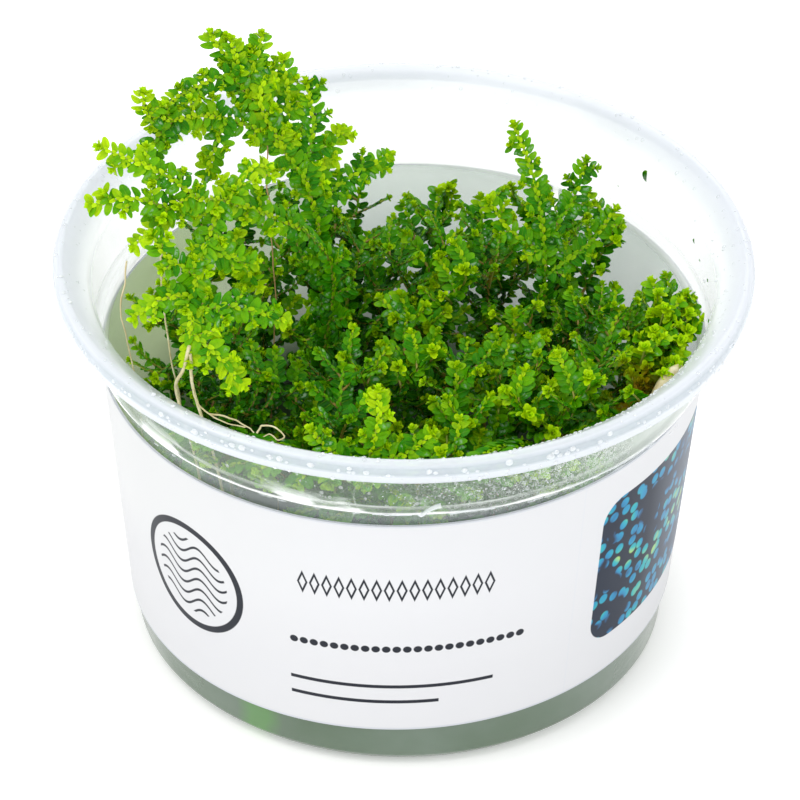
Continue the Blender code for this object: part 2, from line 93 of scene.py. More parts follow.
bushSizes = {
    "seed": 11,
    "count": 31,
    "radius": 33.5,
    "turn": math.radians(137.508),    # from one shoot to the next: the golden angle
    "fork": 46.0,             # height where a stem ends and its head forks
    "slope": 0.1,             # the bush is lower towards the back
    "spread": 2.2,            # of the forks' heights
    "bend": 1.0,              # of a stem at its middle
    "lean": (1.08, 1.14),     # a stem's top stands further out than its foot by this
    "shift": 1.6,             # of a stem's top to either side
    "hollow": (21.0, -3.0),   # a low spot in the bush
    "hollowDepth": 9.0,
    "hollowWidth": 60.0,      # twice the square of the hollow's spread
    "frondRoom": 3.6,         # kept round the foot of a long frond
    "rootRoom": 2.2,
    "forkHalf": 0.5,          # half of the saddle between a head's two branches
    "sideShare": 0.86,        # where the lower branch leaves the stem
    "headRise": math.radians(56),
    "sideRise": math.radians(30),
    "length": 13.0,           # of a branch
    "width": 4.8,             # half-width of a branch at its widest
    "droop": 0.16,            # fall of the tip as a share of the length
    "tries": 14,
    # what each try adds to a branch's direction and rise, and by how much more it does at each further try
    "turned": (0.35, 0.18),
    "raised": (0.22, 0.1),
    "shorter": 0.03,
    "lengths": (0.92, 1.08),
}

# The long fronds: stems, then leafy branches, through points in millimetres.
# A branch is (points from its root to its tip, half-width at its widest).
tallFrond = {
    "name": "frond_tall_arch",
    "finish": "youngLeaf",
    "stems": [
        [(-9, 3, stemFoot), (-9, 3, 15), (-11, 3.8, 40), (-12.1, 2.4, 60), (-12.3, 1.3, 67)],
    ],
    "branches": [
        ([(-12.3, 1.3, 66.8), (-14.4, 2.6, 74), (-19.3, 4, 80.7), (-22.6, 6, 86), (-25, 8.4, 94.6)], 3.4),
        ([(-19.4, 4, 80.8), (-27, 0, 86.6), (-32.4, -5, 89), (-36.2, -8, 92.2), (-36.6, -8, 96.6)], 3.6),
        ([(-32.6, -5.2, 89), (-35.2, -9.2, 87.6), (-35.2, -10.6, 82.6)], 2.6),
        ([(-14.5, 3, 74.6), (-13.2, 6, 81), (-14.6, 8.6, 88.6)], 3.3),
        ([(-17.4, 3.7, 78.2), (-16.8, 8, 85), (-18.4, 10.6, 92.4)], 3.0),
        ([(-12.6, 1.5, 70), (-8.7, 7, 70.8), (-2.2, 13.2, 71.4)], 2.8),
        ([(-25.6, 0.9, 85.6), (-27, -2.6, 82.8), (-28.2, -4.4, 78.8)], 2.6),
        ([(-13.6, 2.2, 72.6), (-10, 8.6, 77.4), (-7.6, 12, 78.4)], 2.8),
    ],
}
hangingFrond = {
    "name": "frond_left_hanging",
    "finish": "youngLeaf",
    "stems": [
        [(-15, -4, stemFoot), (-15, -4, 15), (-13, -3, 38), (-10.6, -3, 54), (-10.6, -3.6, 64),
         (-14.6, -6, 71.4)],
    ],
    "branches": [
        ([(-14.5, -5.9, 71.2), (-20, -10.4, 77.2), (-27.6, -16.8, 84), (-33.2, -20, 83),
          (-37.6, -21.2, 78.6)], 3.4),
        ([(-28.4, -17.4, 84.4), (-33.9, -18.6, 89.4), (-42.2, -18.8, 93.6)], 3.2),
        ([(-32, -19.4, 84), (-37.3, -21.6, 87), (-43.4, -21.6, 85.8)], 3.0),
        ([(-24.6, -14.4, 81.8), (-21.7, -9.8, 84), (-19.2, -6.8, 82.6)], 2.6),
        ([(-25.4, -15, 82.2), (-28.2, -21.6, 77), (-29.4, -26.6, 70.8), (-29.6, -30.4, 65.4)], 3.2),
        ([(-29.3, -26, 71.4), (-23.4, -26.4, 72.4), (-16.2, -25, 69)], 3.2),
        ([(-29.5, -28, 69.2), (-25.6, -30.6, 66.8), (-22, -31.6, 62.4)], 3.2),
        ([(-29.1, -24.8, 73), (-33.2, -27, 74), (-37.4, -28.4, 71.6)], 3.0),
        ([(-28.7, -23.2, 75.2), (-32.6, -24.2, 79), (-35, -24, 82.6)], 2.8),
        ([(-27.9, -21, 77.6), (-23.4, -19.6, 75.8), (-20.2, -18.4, 70)], 3.0),
    ],
}
rearFrond = {
    "name": "frond_rear_right",
    "finish": "leafGreen",
    "stems": [
        [(20, 11, stemFoot), (20, 11, 15), (20.5, 11.4, 38), (20.8, 12.6, 52.4)],
    ],
    "branches": [
        ([(20.8, 12.6, 52.2), (20, 16, 59.4), (18.4, 19.2, 65.2), (15.8, 22.2, 70.8)], 2.8),
        ([(20.5, 14.2, 56), (24.4, 16.8, 60.8), (26.4, 18.8, 67)], 3.0),
        ([(20.8, 12.2, 51), (26.6, 14.6, 54.6), (31, 16.6, 60)], 3.2),
        ([(20.6, 13.3, 54.2), (15.6, 14.6, 57.2), (12.2, 15.6, 62)], 3.0),
    ],
}
frontFrond = {
    "name": "frond_front_tuft",
    "finish": "youngLeaf",
    "stems": [
        [(-4, -30.5, stemFoot), (-4, -30.5, 15), (-4.4, -33, 38), (-4.6, -35.4, 51.6)],
    ],
    "branches": [
        ([(-4.6, -35.4, 51.4), (-4.2, -37.4, 56.4), (-3.3, -37, 60.6), (-3.3, -35.4, 65)], 3.2),
        ([(-4.6, -35.6, 52), (-9.2, -37.6, 55.2), (-12.6, -37.6, 59.6)], 3.2),
        ([(-4.4, -36, 53.2), (0.6, -38.4, 56.2), (4.4, -38.4, 60)], 3.2),
    ],
}
longFronds = [tallFrond, hangingFrond, rearFrond, frontFrond]

# Pale aerial roots: name, radius, and the routes of their strands in millimetres.
aerialRoots = [
    ("root_twin_front", 0.45, [
        [(-29.9, -31.2, 64.3), (-29.8, -30.9, 60), (-28.7, -28.9, 46), (-27.8, -27.8, 30),
         (-26.4, -26.6, rootFoot)],
        [(-29.9, -31.1, 62.6), (-27.2, -31.6, 58), (-25.2, -31, 44), (-24.4, -30, 30),
         (-23.6, -29.2, rootFoot)],
    ]),
    ("root_long_left", 0.35, [
        [(-38.5, -22.4, 77), (-39.4, -21.6, 69), (-38.4, -19.4, 58), (-37, -17.6, 44),
         (-34.6, -16, rootFoot)],
    ]),
    ("root_mid_left", 0.45, [
        [(-33.1, -20.9, 81.2), (-33.6, -20.6, 74), (-33.2, -18.4, 62), (-31.6, -16.4, 44),
         (-30.4, -15.6, rootFoot)],
    ]),
    ("root_rear_thin", 0.32, [
        [(-19.7, 3.2, 79.4), (-19.4, 1.4, 72), (-18.8, 0.4, 60), (-18.4, 0.2, 40),
         (-18.2, 0.4, rootFoot)],
    ]),
]

def outerWall(z):
    # Outer radius of the tapered wall below the ledge.
    return cupSizes["base"] + cupSizes["taper"] * z


ledgeRadius = outerWall(cupSizes["ledge"]) + cupSizes["step"]


def innerWall(z):
    # Inner radius that the plants have to stay inside, at any height.
    if z < cupSizes["ledge"] + 1:
        return outerWall(z) - cupSizes["wall"]
    if z < cupSizes["height"] - 4:
        return ledgeRadius - cupSizes["wall"] - 0.3
    return cupSizes["rim"] - 1.5


def collarInside(z):
    # Inner radius of the collar, which widens a little towards its top.
    return ledgeRadius - cupSizes["wall"] + (z - 51) * 0.045


def smoothRoute(points, steps):
    # A Catmull-Rom curve through the points, as steps + 1 evenly spaced places for each stretch.
    points = [Vector(p) for p in points]
    ends = [2 * points[0] - points[1]] + points + [2 * points[-1] - points[-2]]
    route = []
    for before, a, b, after in zip(ends, ends[1:], ends[2:], ends[3:]):
        for step in range(steps):
            t = step / steps
            route.append(0.5 * (2 * a + (b - before) * t + (2 * before - 5 * a + 4 * b - after) * t ** 2
                                + (3 * a - before - 3 * b + after) * t ** 3))
    route.append(points[-1])
    return route


def routeLength(route):
    return sum((b - a).length for a, b in zip(route, route[1:]))


def along(route, share):
    # The point and the direction at a share of a route's length.
    lengths = [(b - a).length for a, b in zip(route, route[1:])]
    left = share * sum(lengths)
    for index, length in enumerate(lengths):
        if left <= length or index == len(lengths) - 1:
            way = route[index + 1] - route[index]
            return route[index] + way * (left / length), way.normalized()
        left -= length


def nearestPlace(routes, point):
    # The place nearest to a point on any of the routes, so that a branch starts on what carries it.
    point = Vector(point)
    places = []
    for route in routes:
        for a, b in zip(route, route[1:]):
            share = max(0.0, min(1.0, (point - a).dot(b - a) / (b - a).length_squared))
            places.append(a + (b - a) * share)
    return min(places, key=lambda place: (place - point).length)


def faceAt(place, way, roll=0.0, outlook=upward):
    # The way a twig's upper side looks: to its outlook, or inwards where the twig itself runs along that.
    face = outlook - way * way.dot(outlook)
    if face.length < 0.3:
        inward = Vector((-place.x, -place.y, 20))
        face = inward - way * way.dot(inward)
    return Matrix.Rotation(roll, 3, way) @ face.normalized()


def outFrom(angle):
    # The level direction away from the cup's middle at an angle.
    return Vector((math.cos(angle), math.sin(angle), 0))


def branchStations(route, pairs):
    # Stations along a branch: each has its place, its direction, its side and the way its face looks.
    stations = []
    for share in [0.0] + [bladeSizes["bare"] + (bladeSizes["rib"] - bladeSizes["bare"]) * index / pairs
                          for index in range(pairs + 1)]:
        place, way = along(route, share)
        face = faceAt(place, way)
        stations.append((place, way, way.cross(face), face))
    return stations


def leafletReach(width, share):
    # The leaflets are longest below the middle of the branch and short towards its tip.
    return width * (0.58 + 0.42 * math.sin(math.pi * (0.15 + 0.75 * share)))


def bladeParts(route, width, grow=0.0):
    # A thin arched blade, cut to its rib between the leaflets, with the same triangles above and below.
    sizes = bladeSizes
    ribbed = routeLength(route) * (sizes["rib"] - sizes["bare"])
    pairs = max(2, round(ribbed / sizes["spacing"]))
    spacing = ribbed / pairs
    stations = branchStations(route, pairs)
    outline = []

    def put(station, forward, side, lift):
        place, way, across, face = station
        outline.append((place + way * forward + across * side + face * lift, face))
        return len(outline) - 1

    edge = sizes["ribHalf"] + grow
    ribs = [(put(station, 0, -edge, 0), put(station, 0, edge, 0)) for station in stations]
    surface = [triangle for (a, b), (c, d) in zip(ribs, ribs[1:]) for triangle in ((a, b, d), (a, d, c))]
    walls = {0: [ribs[0][0]], 1: [ribs[0][1]]}
    for index in range(pairs):
        reach = leafletReach(width, (index + 0.5) / pairs) + grow
        for slot, side in ((0, -1), (1, 1)):
            station = stations[index + 1]
            near = put(station, spacing * sizes["heel"][0] - grow, side * reach * sizes["heel"][1],
                       reach * sizes["lift"][0])
            far = put(station, spacing * sizes["tip"][0] + grow, side * reach * sizes["tip"][1],
                      reach * sizes["lift"][1])
            start, end = ribs[index + 1][slot], ribs[index + 2][slot]
            if side > 0:
                surface += [(start, near, far), (start, far, end)]
            else:
                surface += [(start, end, far), (start, far, near)]
            walls[slot] += [start, near, far]
    last, (leftRib, rightRib) = stations[-1], ribs[-1]
    shoulder = spacing * sizes["last"][0]
    left = put(last, shoulder, -width * sizes["last"][1] - grow, 0)
    tip = put(last, routeLength(route) * (1 - sizes["rib"]) + grow, 0, 0)
    right = put(last, shoulder, width * sizes["last"][1] + grow, 0)
    surface += [(leftRib, rightRib, right), (leftRib, right, tip), (leftRib, tip, left)]
    loop = walls[1] + [rightRib, right, tip, left, leftRib] + walls[0][::-1]
    count = len(outline)
    half = sizes["thickness"] / 2 + grow
    points = [p + face * half for p, face in outline] + [p - face * half for p, face in outline]
    faces = surface + [(c + count, b + count, a + count) for a, b, c in surface]
    for a, b in zip(loop, loop[1:] + loop[:1]):
        faces += [(b, a, a + count), (b, a + count, b + count)]
    return points, faces


def tubeParts(route, start, end, sides):
    # A closed tube along a route, from one radius to another.
    points, faces = [], []
    count = len(route)
    reference = Vector((0.31, 0.95, 0.0))
    for index, place in enumerate(route):
        way = (route[min(index + 1, count - 1)] - route[max(index - 1, 0)]).normalized()
        across = way.cross(reference).normalized()
        reference = across.cross(way)
        radius = start + (end - start) * (index / (count - 1))
        for side in range(sides):
            angle = 2 * math.pi * side / sides
            points.append(place + (across * math.cos(angle) + reference * math.sin(angle)) * radius)
    for ring in range(count - 1):
        for side in range(sides):
            a, b = ring * sides + side, ring * sides + (side + 1) % sides
            faces += [(b, a, a + sides), (b, a + sides, b + sides)]
    top = (count - 1) * sides
    for side in range(1, sides - 1):
        faces += [(0, side, side + 1), (top, top + side + 1, top + side)]
    return points, faces


def boxOf(points):
    axes = range(3)
    return [min(p[axis] for p in points) for axis in axes], [max(p[axis] for p in points) for axis in axes]


def apart(a, b):
    return any(a[1][axis] < b[0][axis] or b[1][axis] < a[0][axis] for axis in range(3))


def insideCup(points):
    # True where every point is clear of the wall and of the gel's top.
    return all(p.z > gelTop + 0.8 and Vector((p.x, p.y)).length < innerWall(p.z) - 0.6 for p in points)


class Garden:
    # Keeps what has grown so far, so that each new leafy branch is bent clear of the other shoots.
    def __init__(self):
        self.grown = []

    def add(self, owner, points, faces):
        self.grown.append((owner, boxOf(points), BVHTree.FromPolygons(points, faces)))

    def addStem(self, owner, route, radius):
        thick = radius + bladeSizes["clearance"]
        self.add(owner, *tubeParts(route, thick, thick, bladeSizes["sides"]))

    def free(self, owner, points, faces):
        if not insideCup(points):
            return False
        box = boxOf(points)
        near = [tree for other, otherBox, tree in self.grown if other != owner and not apart(box, otherBox)]
        if not near:
            return True
        tree = BVHTree.FromPolygons(points, faces)
        return not any(tree.overlap(other) for other in near)


def bushShoots(chance):
    # Upright shoots in a sunflower spiral over the gel, higher at the front, with one low hollow.
    sizes = bushSizes
    taken = [(frond["stems"][0][0], sizes["frondRoom"]) for frond in longFronds]
    taken += [(strand[-1], sizes["rootRoom"]) for _, _, strands in aerialRoots for strand in strands]
    shift, bend, spread = sizes["shift"], sizes["bend"], sizes["spread"]
    shoots = []
    index = 0
    while len(shoots) < sizes["count"]:
        radius = sizes["radius"] * math.sqrt((index + 0.5) / (sizes["count"] + 2.5))
        angle = index * sizes["turn"] + 0.4
        index += 1
        x, y = radius * math.cos(angle), radius * math.sin(angle)
        if any(math.hypot(x - foot[0], y - foot[1]) < room for foot, room in taken):
            continue
        lean = chance.uniform(*sizes["lean"])
        topX = x * lean + chance.uniform(-shift, shift)
        topY = y * lean + chance.uniform(-shift, shift)
        away = (topX - sizes["hollow"][0]) ** 2 + (topY - sizes["hollow"][1]) ** 2
        fork = sizes["fork"] - sizes["slope"] * topY + chance.uniform(-spread, spread)
        fork -= sizes["hollowDepth"] * math.exp(-away / sizes["hollowWidth"])
        middleX = (x + topX) / 2 + chance.uniform(-bend, bend)
        middleY = (y + topY) / 2 + chance.uniform(-bend, bend)
        middle = (middleX, middleY, (gelTop + fork) / 2)
        bent = smoothRoute([(x, y, gelTop + 1), middle, (topX, topY, fork)], 2)
        shoots.append({
            "name": f"shoot_{len(shoots) + 1:02d}",
            "finish": "leafGreen",
            "stems": [[Vector((x, y, stemFoot))] + bent],
            "blades": [],
            "turn": chance.uniform(0, math.pi),
        })
    return shoots


def bentBranch(root, azimuth, rise, length):
    # A branch that leaves at its rise and arches over towards its tip.
    start = Vector((math.cos(azimuth) * math.cos(rise), math.sin(azimuth) * math.cos(rise), math.sin(rise)))
    droop = Vector((0, 0, -bushSizes["droop"] * length))
    return smoothRoute([root, root + start * length * 0.55, root + start * length + droop], 3)


def clearBranch(garden, owner, root, azimuth, rise, chance):
    # Tries a branch, then bends and shortens it more each time until it is clear of the other shoots.
    swing, moreSwing = bushSizes["turned"]
    lift, moreLift = bushSizes["raised"]
    width = bushSizes["width"]
    for attempt in range(bushSizes["tries"]):
        turned = azimuth + chance.uniform(-swing, swing) * (1 + attempt * moreSwing)
        raised = rise + chance.uniform(-lift, lift) * (1 + attempt * moreLift)
        shorter = 1 - bushSizes["shorter"] * attempt
        length = bushSizes["length"] * shorter * chance.uniform(*bushSizes["lengths"])
        route = bentBranch(root, turned, raised, length)
        if garden.free(owner, *bladeParts(route, width, bladeSizes["clearance"])):
            garden.add(owner, *bladeParts(route, width))
            return route, width
    return None


def growHead(garden, shoot, chance):
    # Two branches fork at the top of the stem, one to each side.
    top = shoot["stems"][0][-1]
    halves = []
    for side in (0, 1):
        azimuth = shoot["turn"] + math.pi * side
        root = top + outFrom(azimuth) * bushSizes["forkHalf"]
        half = clearBranch(garden, shoot["name"], root, azimuth, bushSizes["headRise"], chance)
        if half:
            halves.append(half)
    if len(halves) == 1:
        halves[0][0][0] = top
    shoot["blades"] += halves


def growSide(garden, shoot, chance):
    # A lower branch between the two of the head, on whichever side is free.
    root = along(shoot["stems"][0], bushSizes["sideShare"])[0]
    for side in (1, 0):
        azimuth = shoot["turn"] + math.pi * (side + 0.5)
        half = clearBranch(garden, shoot["name"], root, azimuth, bushSizes["sideRise"], chance)
        if half:
            shoot["blades"].append(half)
            return


def growFrond(garden, frond):
    # A long frond follows its own points; each branch starts on what carries it.
    stems = [smoothRoute(points, 2) for points in frond["stems"]]
    carriers = list(stems)
    blades = []
    for points, width in frond["branches"]:
        route = smoothRoute([nearestPlace(carriers, points[0])] + points[1:], 3)
        carriers.append(route)
        blades.append((route, width))
    for stem in stems:
        garden.addStem(frond["name"], stem, bladeSizes["stem"])
    for route, width in blades:
        garden.add(frond["name"], *bladeParts(route, width, bladeSizes["clearance"]))
    return {"name": frond["name"], "finish": frond["finish"], "stems": stems, "blades": blades}


def growEverything():
    # Every shoot, as its stem routes and its leafy blades, all clear of one another.
    chance = random.Random(bushSizes["seed"])
    garden = Garden()
    fronds = [growFrond(garden, frond) for frond in longFronds]
    for name, radius, strands in aerialRoots:
        for strand in strands:
            garden.addStem(name, smoothRoute(strand, 2), radius)
    bush = bushShoots(chance)
    for shoot in bush:
        garden.addStem(shoot["name"], shoot["stems"][0], bladeSizes["stem"])
    for shoot in bush:
        growHead(garden, shoot, chance)
    for shoot in bush:
        growSide(garden, shoot, chance)
    return fronds + bush


# Materials: shader maths is written as expressions on sockets.

class Wire:
    # One output socket of a material.
    def __init__(self, paint, socket):
        self.paint, self.socket = paint, socket

    def maths(self, operation, *values, clamp=False):
        return self.paint.node("ShaderNodeMath", {"operation": operation, "use_clamp": clamp}, *values)

    def __add__(self, other):
        return self.maths("ADD", self, other)

    def __radd__(self, other):
        return self.maths("ADD", other, self)

    def __sub__(self, other):
        return self.maths("SUBTRACT", self, other)

    def __rsub__(self, other):
        return self.maths("SUBTRACT", other, self)

    def __mul__(self, other):
        return self.maths("MULTIPLY", self, other)

    def __truediv__(self, other):
        return self.maths("DIVIDE", self, other)

    def __pow__(self, other):
        return self.maths("POWER", self, other)

    def __abs__(self):
        return self.maths("ABSOLUTE", self)

    def clamped(self):
        return self.maths("ADD", self, 0.0, clamp=True)

    def atLeast(self, low):
        return self.maths("MAXIMUM", self, low)

    def zigzag(self, span):
        # Rises to the span and falls back again, over and over.
        return self.maths("PINGPONG", self, span)

    def below(self, edge, soft):
        # 1 where the value is under the edge, 0 where it is over, with a soft step between.
        return self.maths("ADD", (edge - self) / soft, 0.5, clamp=True)

    def above(self, edge, soft):
        return 1.0 - self.below(edge, soft)

    def near(self, centre, half, soft):
        # 1 within half of the centre.
        return abs(self - centre).below(half, soft)

    def covering(self, amount, under):
        # This opacity raised towards an amount, as far as a mask has it covered.
        return self + under * (amount - self)


class Paint:
    # A material, its shader and the one method that makes its nodes.
    def __init__(self, name, **fixed):
        self.material = bpy.data.materials.new(name)
        self.material.use_nodes = True
        self.tree = self.material.node_tree
        self.shader = self.tree.nodes["Principled BSDF"]
        for socket, value in fixed.items():
            self.shader.inputs[socket.replace("_", " ")].default_value = value

    def node(self, kind, settings, *values, output=0, **named):
        made = self.tree.nodes.new(kind)
        for key, value in settings.items():
            if key == "stops":
                ramp = made.color_ramp
                while len(ramp.elements) < len(value):
                    ramp.elements.new(0.5)
                for element, (place, colour) in zip(ramp.elements, value):
                    element.position, element.color = place, (*colour, 1.0)
            else:
                setattr(made, key, value)
        for index, value in enumerate(values):
            self.join(value, made.inputs[index])
        for socket, value in named.items():
            self.join(value, made.inputs[socket.replace("_", " ")])
        return Wire(self, made.outputs[output])

    def join(self, value, socket):
        if isinstance(value, Wire):
            self.tree.links.new(value.socket, socket)
        elif isinstance(value, tuple) and len(value) == 3 and socket.type == "RGBA":
            socket.default_value = (*value, 1.0)
        else:
            socket.default_value = value

    def feed(self, **sockets):
        for socket, value in sockets.items():
            self.join(value, self.shader.inputs[socket.replace("_", " ")])
        return self.material

    def place(self):
        return self.node("ShaderNodeTexCoord", {}, output=3)

    def parts(self, vector):
        split = self.node("ShaderNodeSeparateXYZ", {}, vector).socket.node
        return [Wire(self, out) for out in split.outputs]

    def attribute(self, name):
        return self.node("ShaderNodeAttribute", {"attribute_name": name}, output=2)

    def grain(self, scale, detail=2.0, vector=None):
        vector = vector or self.place()
        return self.node("ShaderNodeTexNoise", {}, Vector=vector, Scale=scale, Detail=detail)

    def cells(self, plane, **sizes):
        flat = {"voronoi_dimensions": "2D", "feature": "F1"}
        return self.node("ShaderNodeTexVoronoi", flat, Vector=plane, **sizes)

    def ramp(self, value, *stops):
        return self.node("ShaderNodeValToRGB", {"stops": stops}, value)

    def mix(self, share, first, second, blend="MIX"):
        made = self.node("ShaderNodeMix", {"data_type": "RGBA", "blend_type": blend}, output=2)
        inputs = made.socket.node.inputs
        self.join(share, inputs[0])
        self.join(first, inputs[6])
        self.join(second, inputs[7])
        return made

    def bump(self, height, strength, distance):
        return self.node("ShaderNodeBump", {}, Height=height, Strength=strength, Distance=distance)

    def glow(self, colour, share):
        # Lets light through the piece: part of the surface passes it on instead of sending it back.
        passing = self.node("ShaderNodeBsdfTranslucent", {}, colour)
        mixed = self.node("ShaderNodeMixShader", {}, share)
        out = self.tree.nodes["Material Output"].inputs["Surface"]
        inputs = mixed.socket.node.inputs
        self.tree.links.new(self.shader.outputs[0], inputs[1])
        self.tree.links.new(passing.socket, inputs[2])
        self.tree.links.new(mixed.socket, out)

    def facing(self, blend):
        return self.node("ShaderNodeLayerWeight", {}, blend, output=1)


leafColours = {
    # by age, from deep green to a yellow-green tip
    "ages": ((0.0, (0.007, 0.088, 0.0004)), (0.3, (0.040, 0.290, 0.0006)), (0.58, (0.180, 0.510, 0.001)),
             (0.8, (0.500, 0.740, 0.002)), (1.0, (0.640, 0.930, 0.006))),
    "vein": (0.320, 0.620, 0.020),
    "heel": (0.360, 0.600, 0.020),
    # painted glint: the pale bluish white of highlights on wet leaves
    "paintedGlint": (0.520, 0.720, 0.560),
    "cells": (0.80, 0.88, 0.6),
    "withered": (0.300, 0.130, 0.004),
    # where leaves have withered: place and reach in metres
    "witheredPlaces": (((0.0336, -0.0190, 0.0525), 0.0042), ((0.0132, 0.0106, 0.0530), 0.0012)),
}


def leafPaint():
    # Age runs from 0 to 1. The leaf's own map runs along its vein.
    paint = Paint("wetLeaf", Specular_IOR_Level=0.12)
    age = paint.attribute("age")
    across, alongLeaf, _ = paint.parts(paint.node("ShaderNodeUVMap", {"uv_map": "leafMap"}))
    mottle = paint.grain(900, 3)
    cells = paint.grain(4200, 2)
    grown = (age + (mottle - 0.5) * 0.34 + (alongLeaf - 0.5) * 0.10).clamped()
    colour = paint.ramp(grown, *leafColours["ages"])
    vein = across.near(0.5, 0.045, 0.05) * (1.0 - alongLeaf * 0.7)
    colour = paint.mix(vein * 0.35, colour, leafColours["vein"])
    colour = paint.mix(alongLeaf.below(0.10, 0.2) * 0.4, colour, leafColours["heel"])
    # painted glints: pale bluish highlights of wet gloss on the middle of the older leaves, in patches
    paintedGlint = paint.grain(330, 1).above(0.585, 0.05) * across.near(0.5, 0.22, 0.2)
    paintedGlint = paintedGlint * alongLeaf.near(0.6, 0.22, 0.2) * age.below(0.50, 0.2)
    paintedGlint = paintedGlint * paint.grain(2100, 2).above(0.48, 0.08)
    colour = paint.mix(paintedGlint * 0.60, colour, leafColours["paintedGlint"])
    colour = paint.mix((cells - 0.5) * 0.6 + 0.3, colour, leafColours["cells"], "MULTIPLY")
    place = paint.place()
    for centre, reach in leafColours["witheredPlaces"]:
        distance = paint.node("ShaderNodeVectorMath", {"operation": "DISTANCE"}, place, centre, output=1)
        withered = (distance + (mottle - 0.5) * 0.006).below(reach, 0.0035)
        colour = paint.mix(withered * 0.8, colour, leafColours["withered"])
    relief = paint.bump(cells + vein * 1.5, 0.40, 0.00014)
    rough = (0.24 + (mottle - 0.35) * 0.5).atLeast(0.12)
    paint.glow(colour, 0.30)
    return paint.feed(Base_Color=colour, Roughness=rough, Normal=relief)


stemColours = ((0.0, (0.20, 0.085, 0.018)), (0.25, (0.26, 0.20, 0.03)), (0.6, (0.33, 0.42, 0.05)),
               (1.0, (0.50, 0.62, 0.12)))


def stemPaint():
    # Red-brown at the foot, green towards the tip.
    paint = Paint("stemSkin", Roughness=0.4)
    streaks = paint.grain(1500, 3)
    colour = paint.ramp((paint.attribute("age") + (streaks - 0.5) * 0.3).clamped(), *stemColours)
    return paint.feed(Base_Color=colour, Normal=paint.bump(streaks, 0.3, 0.0001))


rootColours = {
    "streaks": ((0.25, (0.46, 0.39, 0.17)), (0.55, (0.64, 0.58, 0.34)), (0.8, (0.78, 0.75, 0.55))),
    "tan": (0.46, 0.27, 0.10),
}


def rootPaint():
    # Streaked cream, tanned as far as the root's age says.
    paint = Paint("rootCream")
    streaks = paint.grain(700, 4)
    colour = paint.ramp(streaks, *rootColours["streaks"])
    colour = paint.mix(paint.attribute("age"), colour, rootColours["tan"])
    relief = paint.bump(streaks, 0.4, 0.00012)
    return paint.feed(Base_Color=colour, Roughness=0.35 + streaks * 0.25, Normal=relief)


gelColours = {
    "cloud": ((0.3, (0.100, 0.155, 0.100)), (0.5, (0.132, 0.190, 0.132)), (0.68, (0.168, 0.226, 0.164))),
    "top": (0.016, 0.040, 0.008),    # in the shade of the bush
}


def gelPaint():
    paint = Paint("cultureGel", Specular_IOR_Level=0.12)
    _, _, height = paint.parts(paint.place())
    cloud = paint.grain(42, 3)
    fleck = paint.grain(260, 4)
    colour = paint.ramp(cloud * 0.75 + fleck * 0.25, *gelColours["cloud"])
    colour = paint.mix(height.above(0.0125, 0.0016) * 0.9, colour, gelColours["top"])
    return paint.feed(Base_Color=colour, Roughness=0.22 + cloud * 0.3, Normal=paint.bump(fleck, 0.12, 0.0003))


cupLook = {
    "segments": 192,
    "corner": 0.45,           # rounding of the profile's corners
    "wobble": 0.07,           # how far the wall strays from round
    # colours of the plastic: face on, turned away, and zone by zone
    "faceOn": (0.80, 0.85, 0.87), "turnedAway": (0.54, 0.63, 0.67),
    "rim": (0.80, 0.84, 0.845), "skirt": (0.690, 0.725, 0.790), "stripe": (0.60, 0.68, 0.745),
    # the last white is that of water, bubbles and the painted highlights by the ledge
    "collar": (0.58, 0.70, 0.56), "waterAndGlint": (0.95, 0.975, 0.97),
    # the gel as it is seen through the wetted wall, with a few green spots
    "gel": ((0.3, (0.075, 0.122, 0.071)), (0.5, (0.099, 0.147, 0.100)), (0.7, (0.132, 0.181, 0.138))),
    "sprout": (0.120, 0.330, 0.060), "patch": (0.075, 0.270, 0.030),
    # opacity of the bare wall, and what each zone adds to it
    "opacity": {"wall": 0.06, "collar": 0.03, "haze": 0.09, "edge": 0.42, "rim": 0.33, "skirt": 0.27,
                "ledge": 0.30, "stripe": -0.33, "milk": 0.30, "window": -0.05, "fog": 0.07, "bubble": 0.42,
                "smear": 0.60},
}


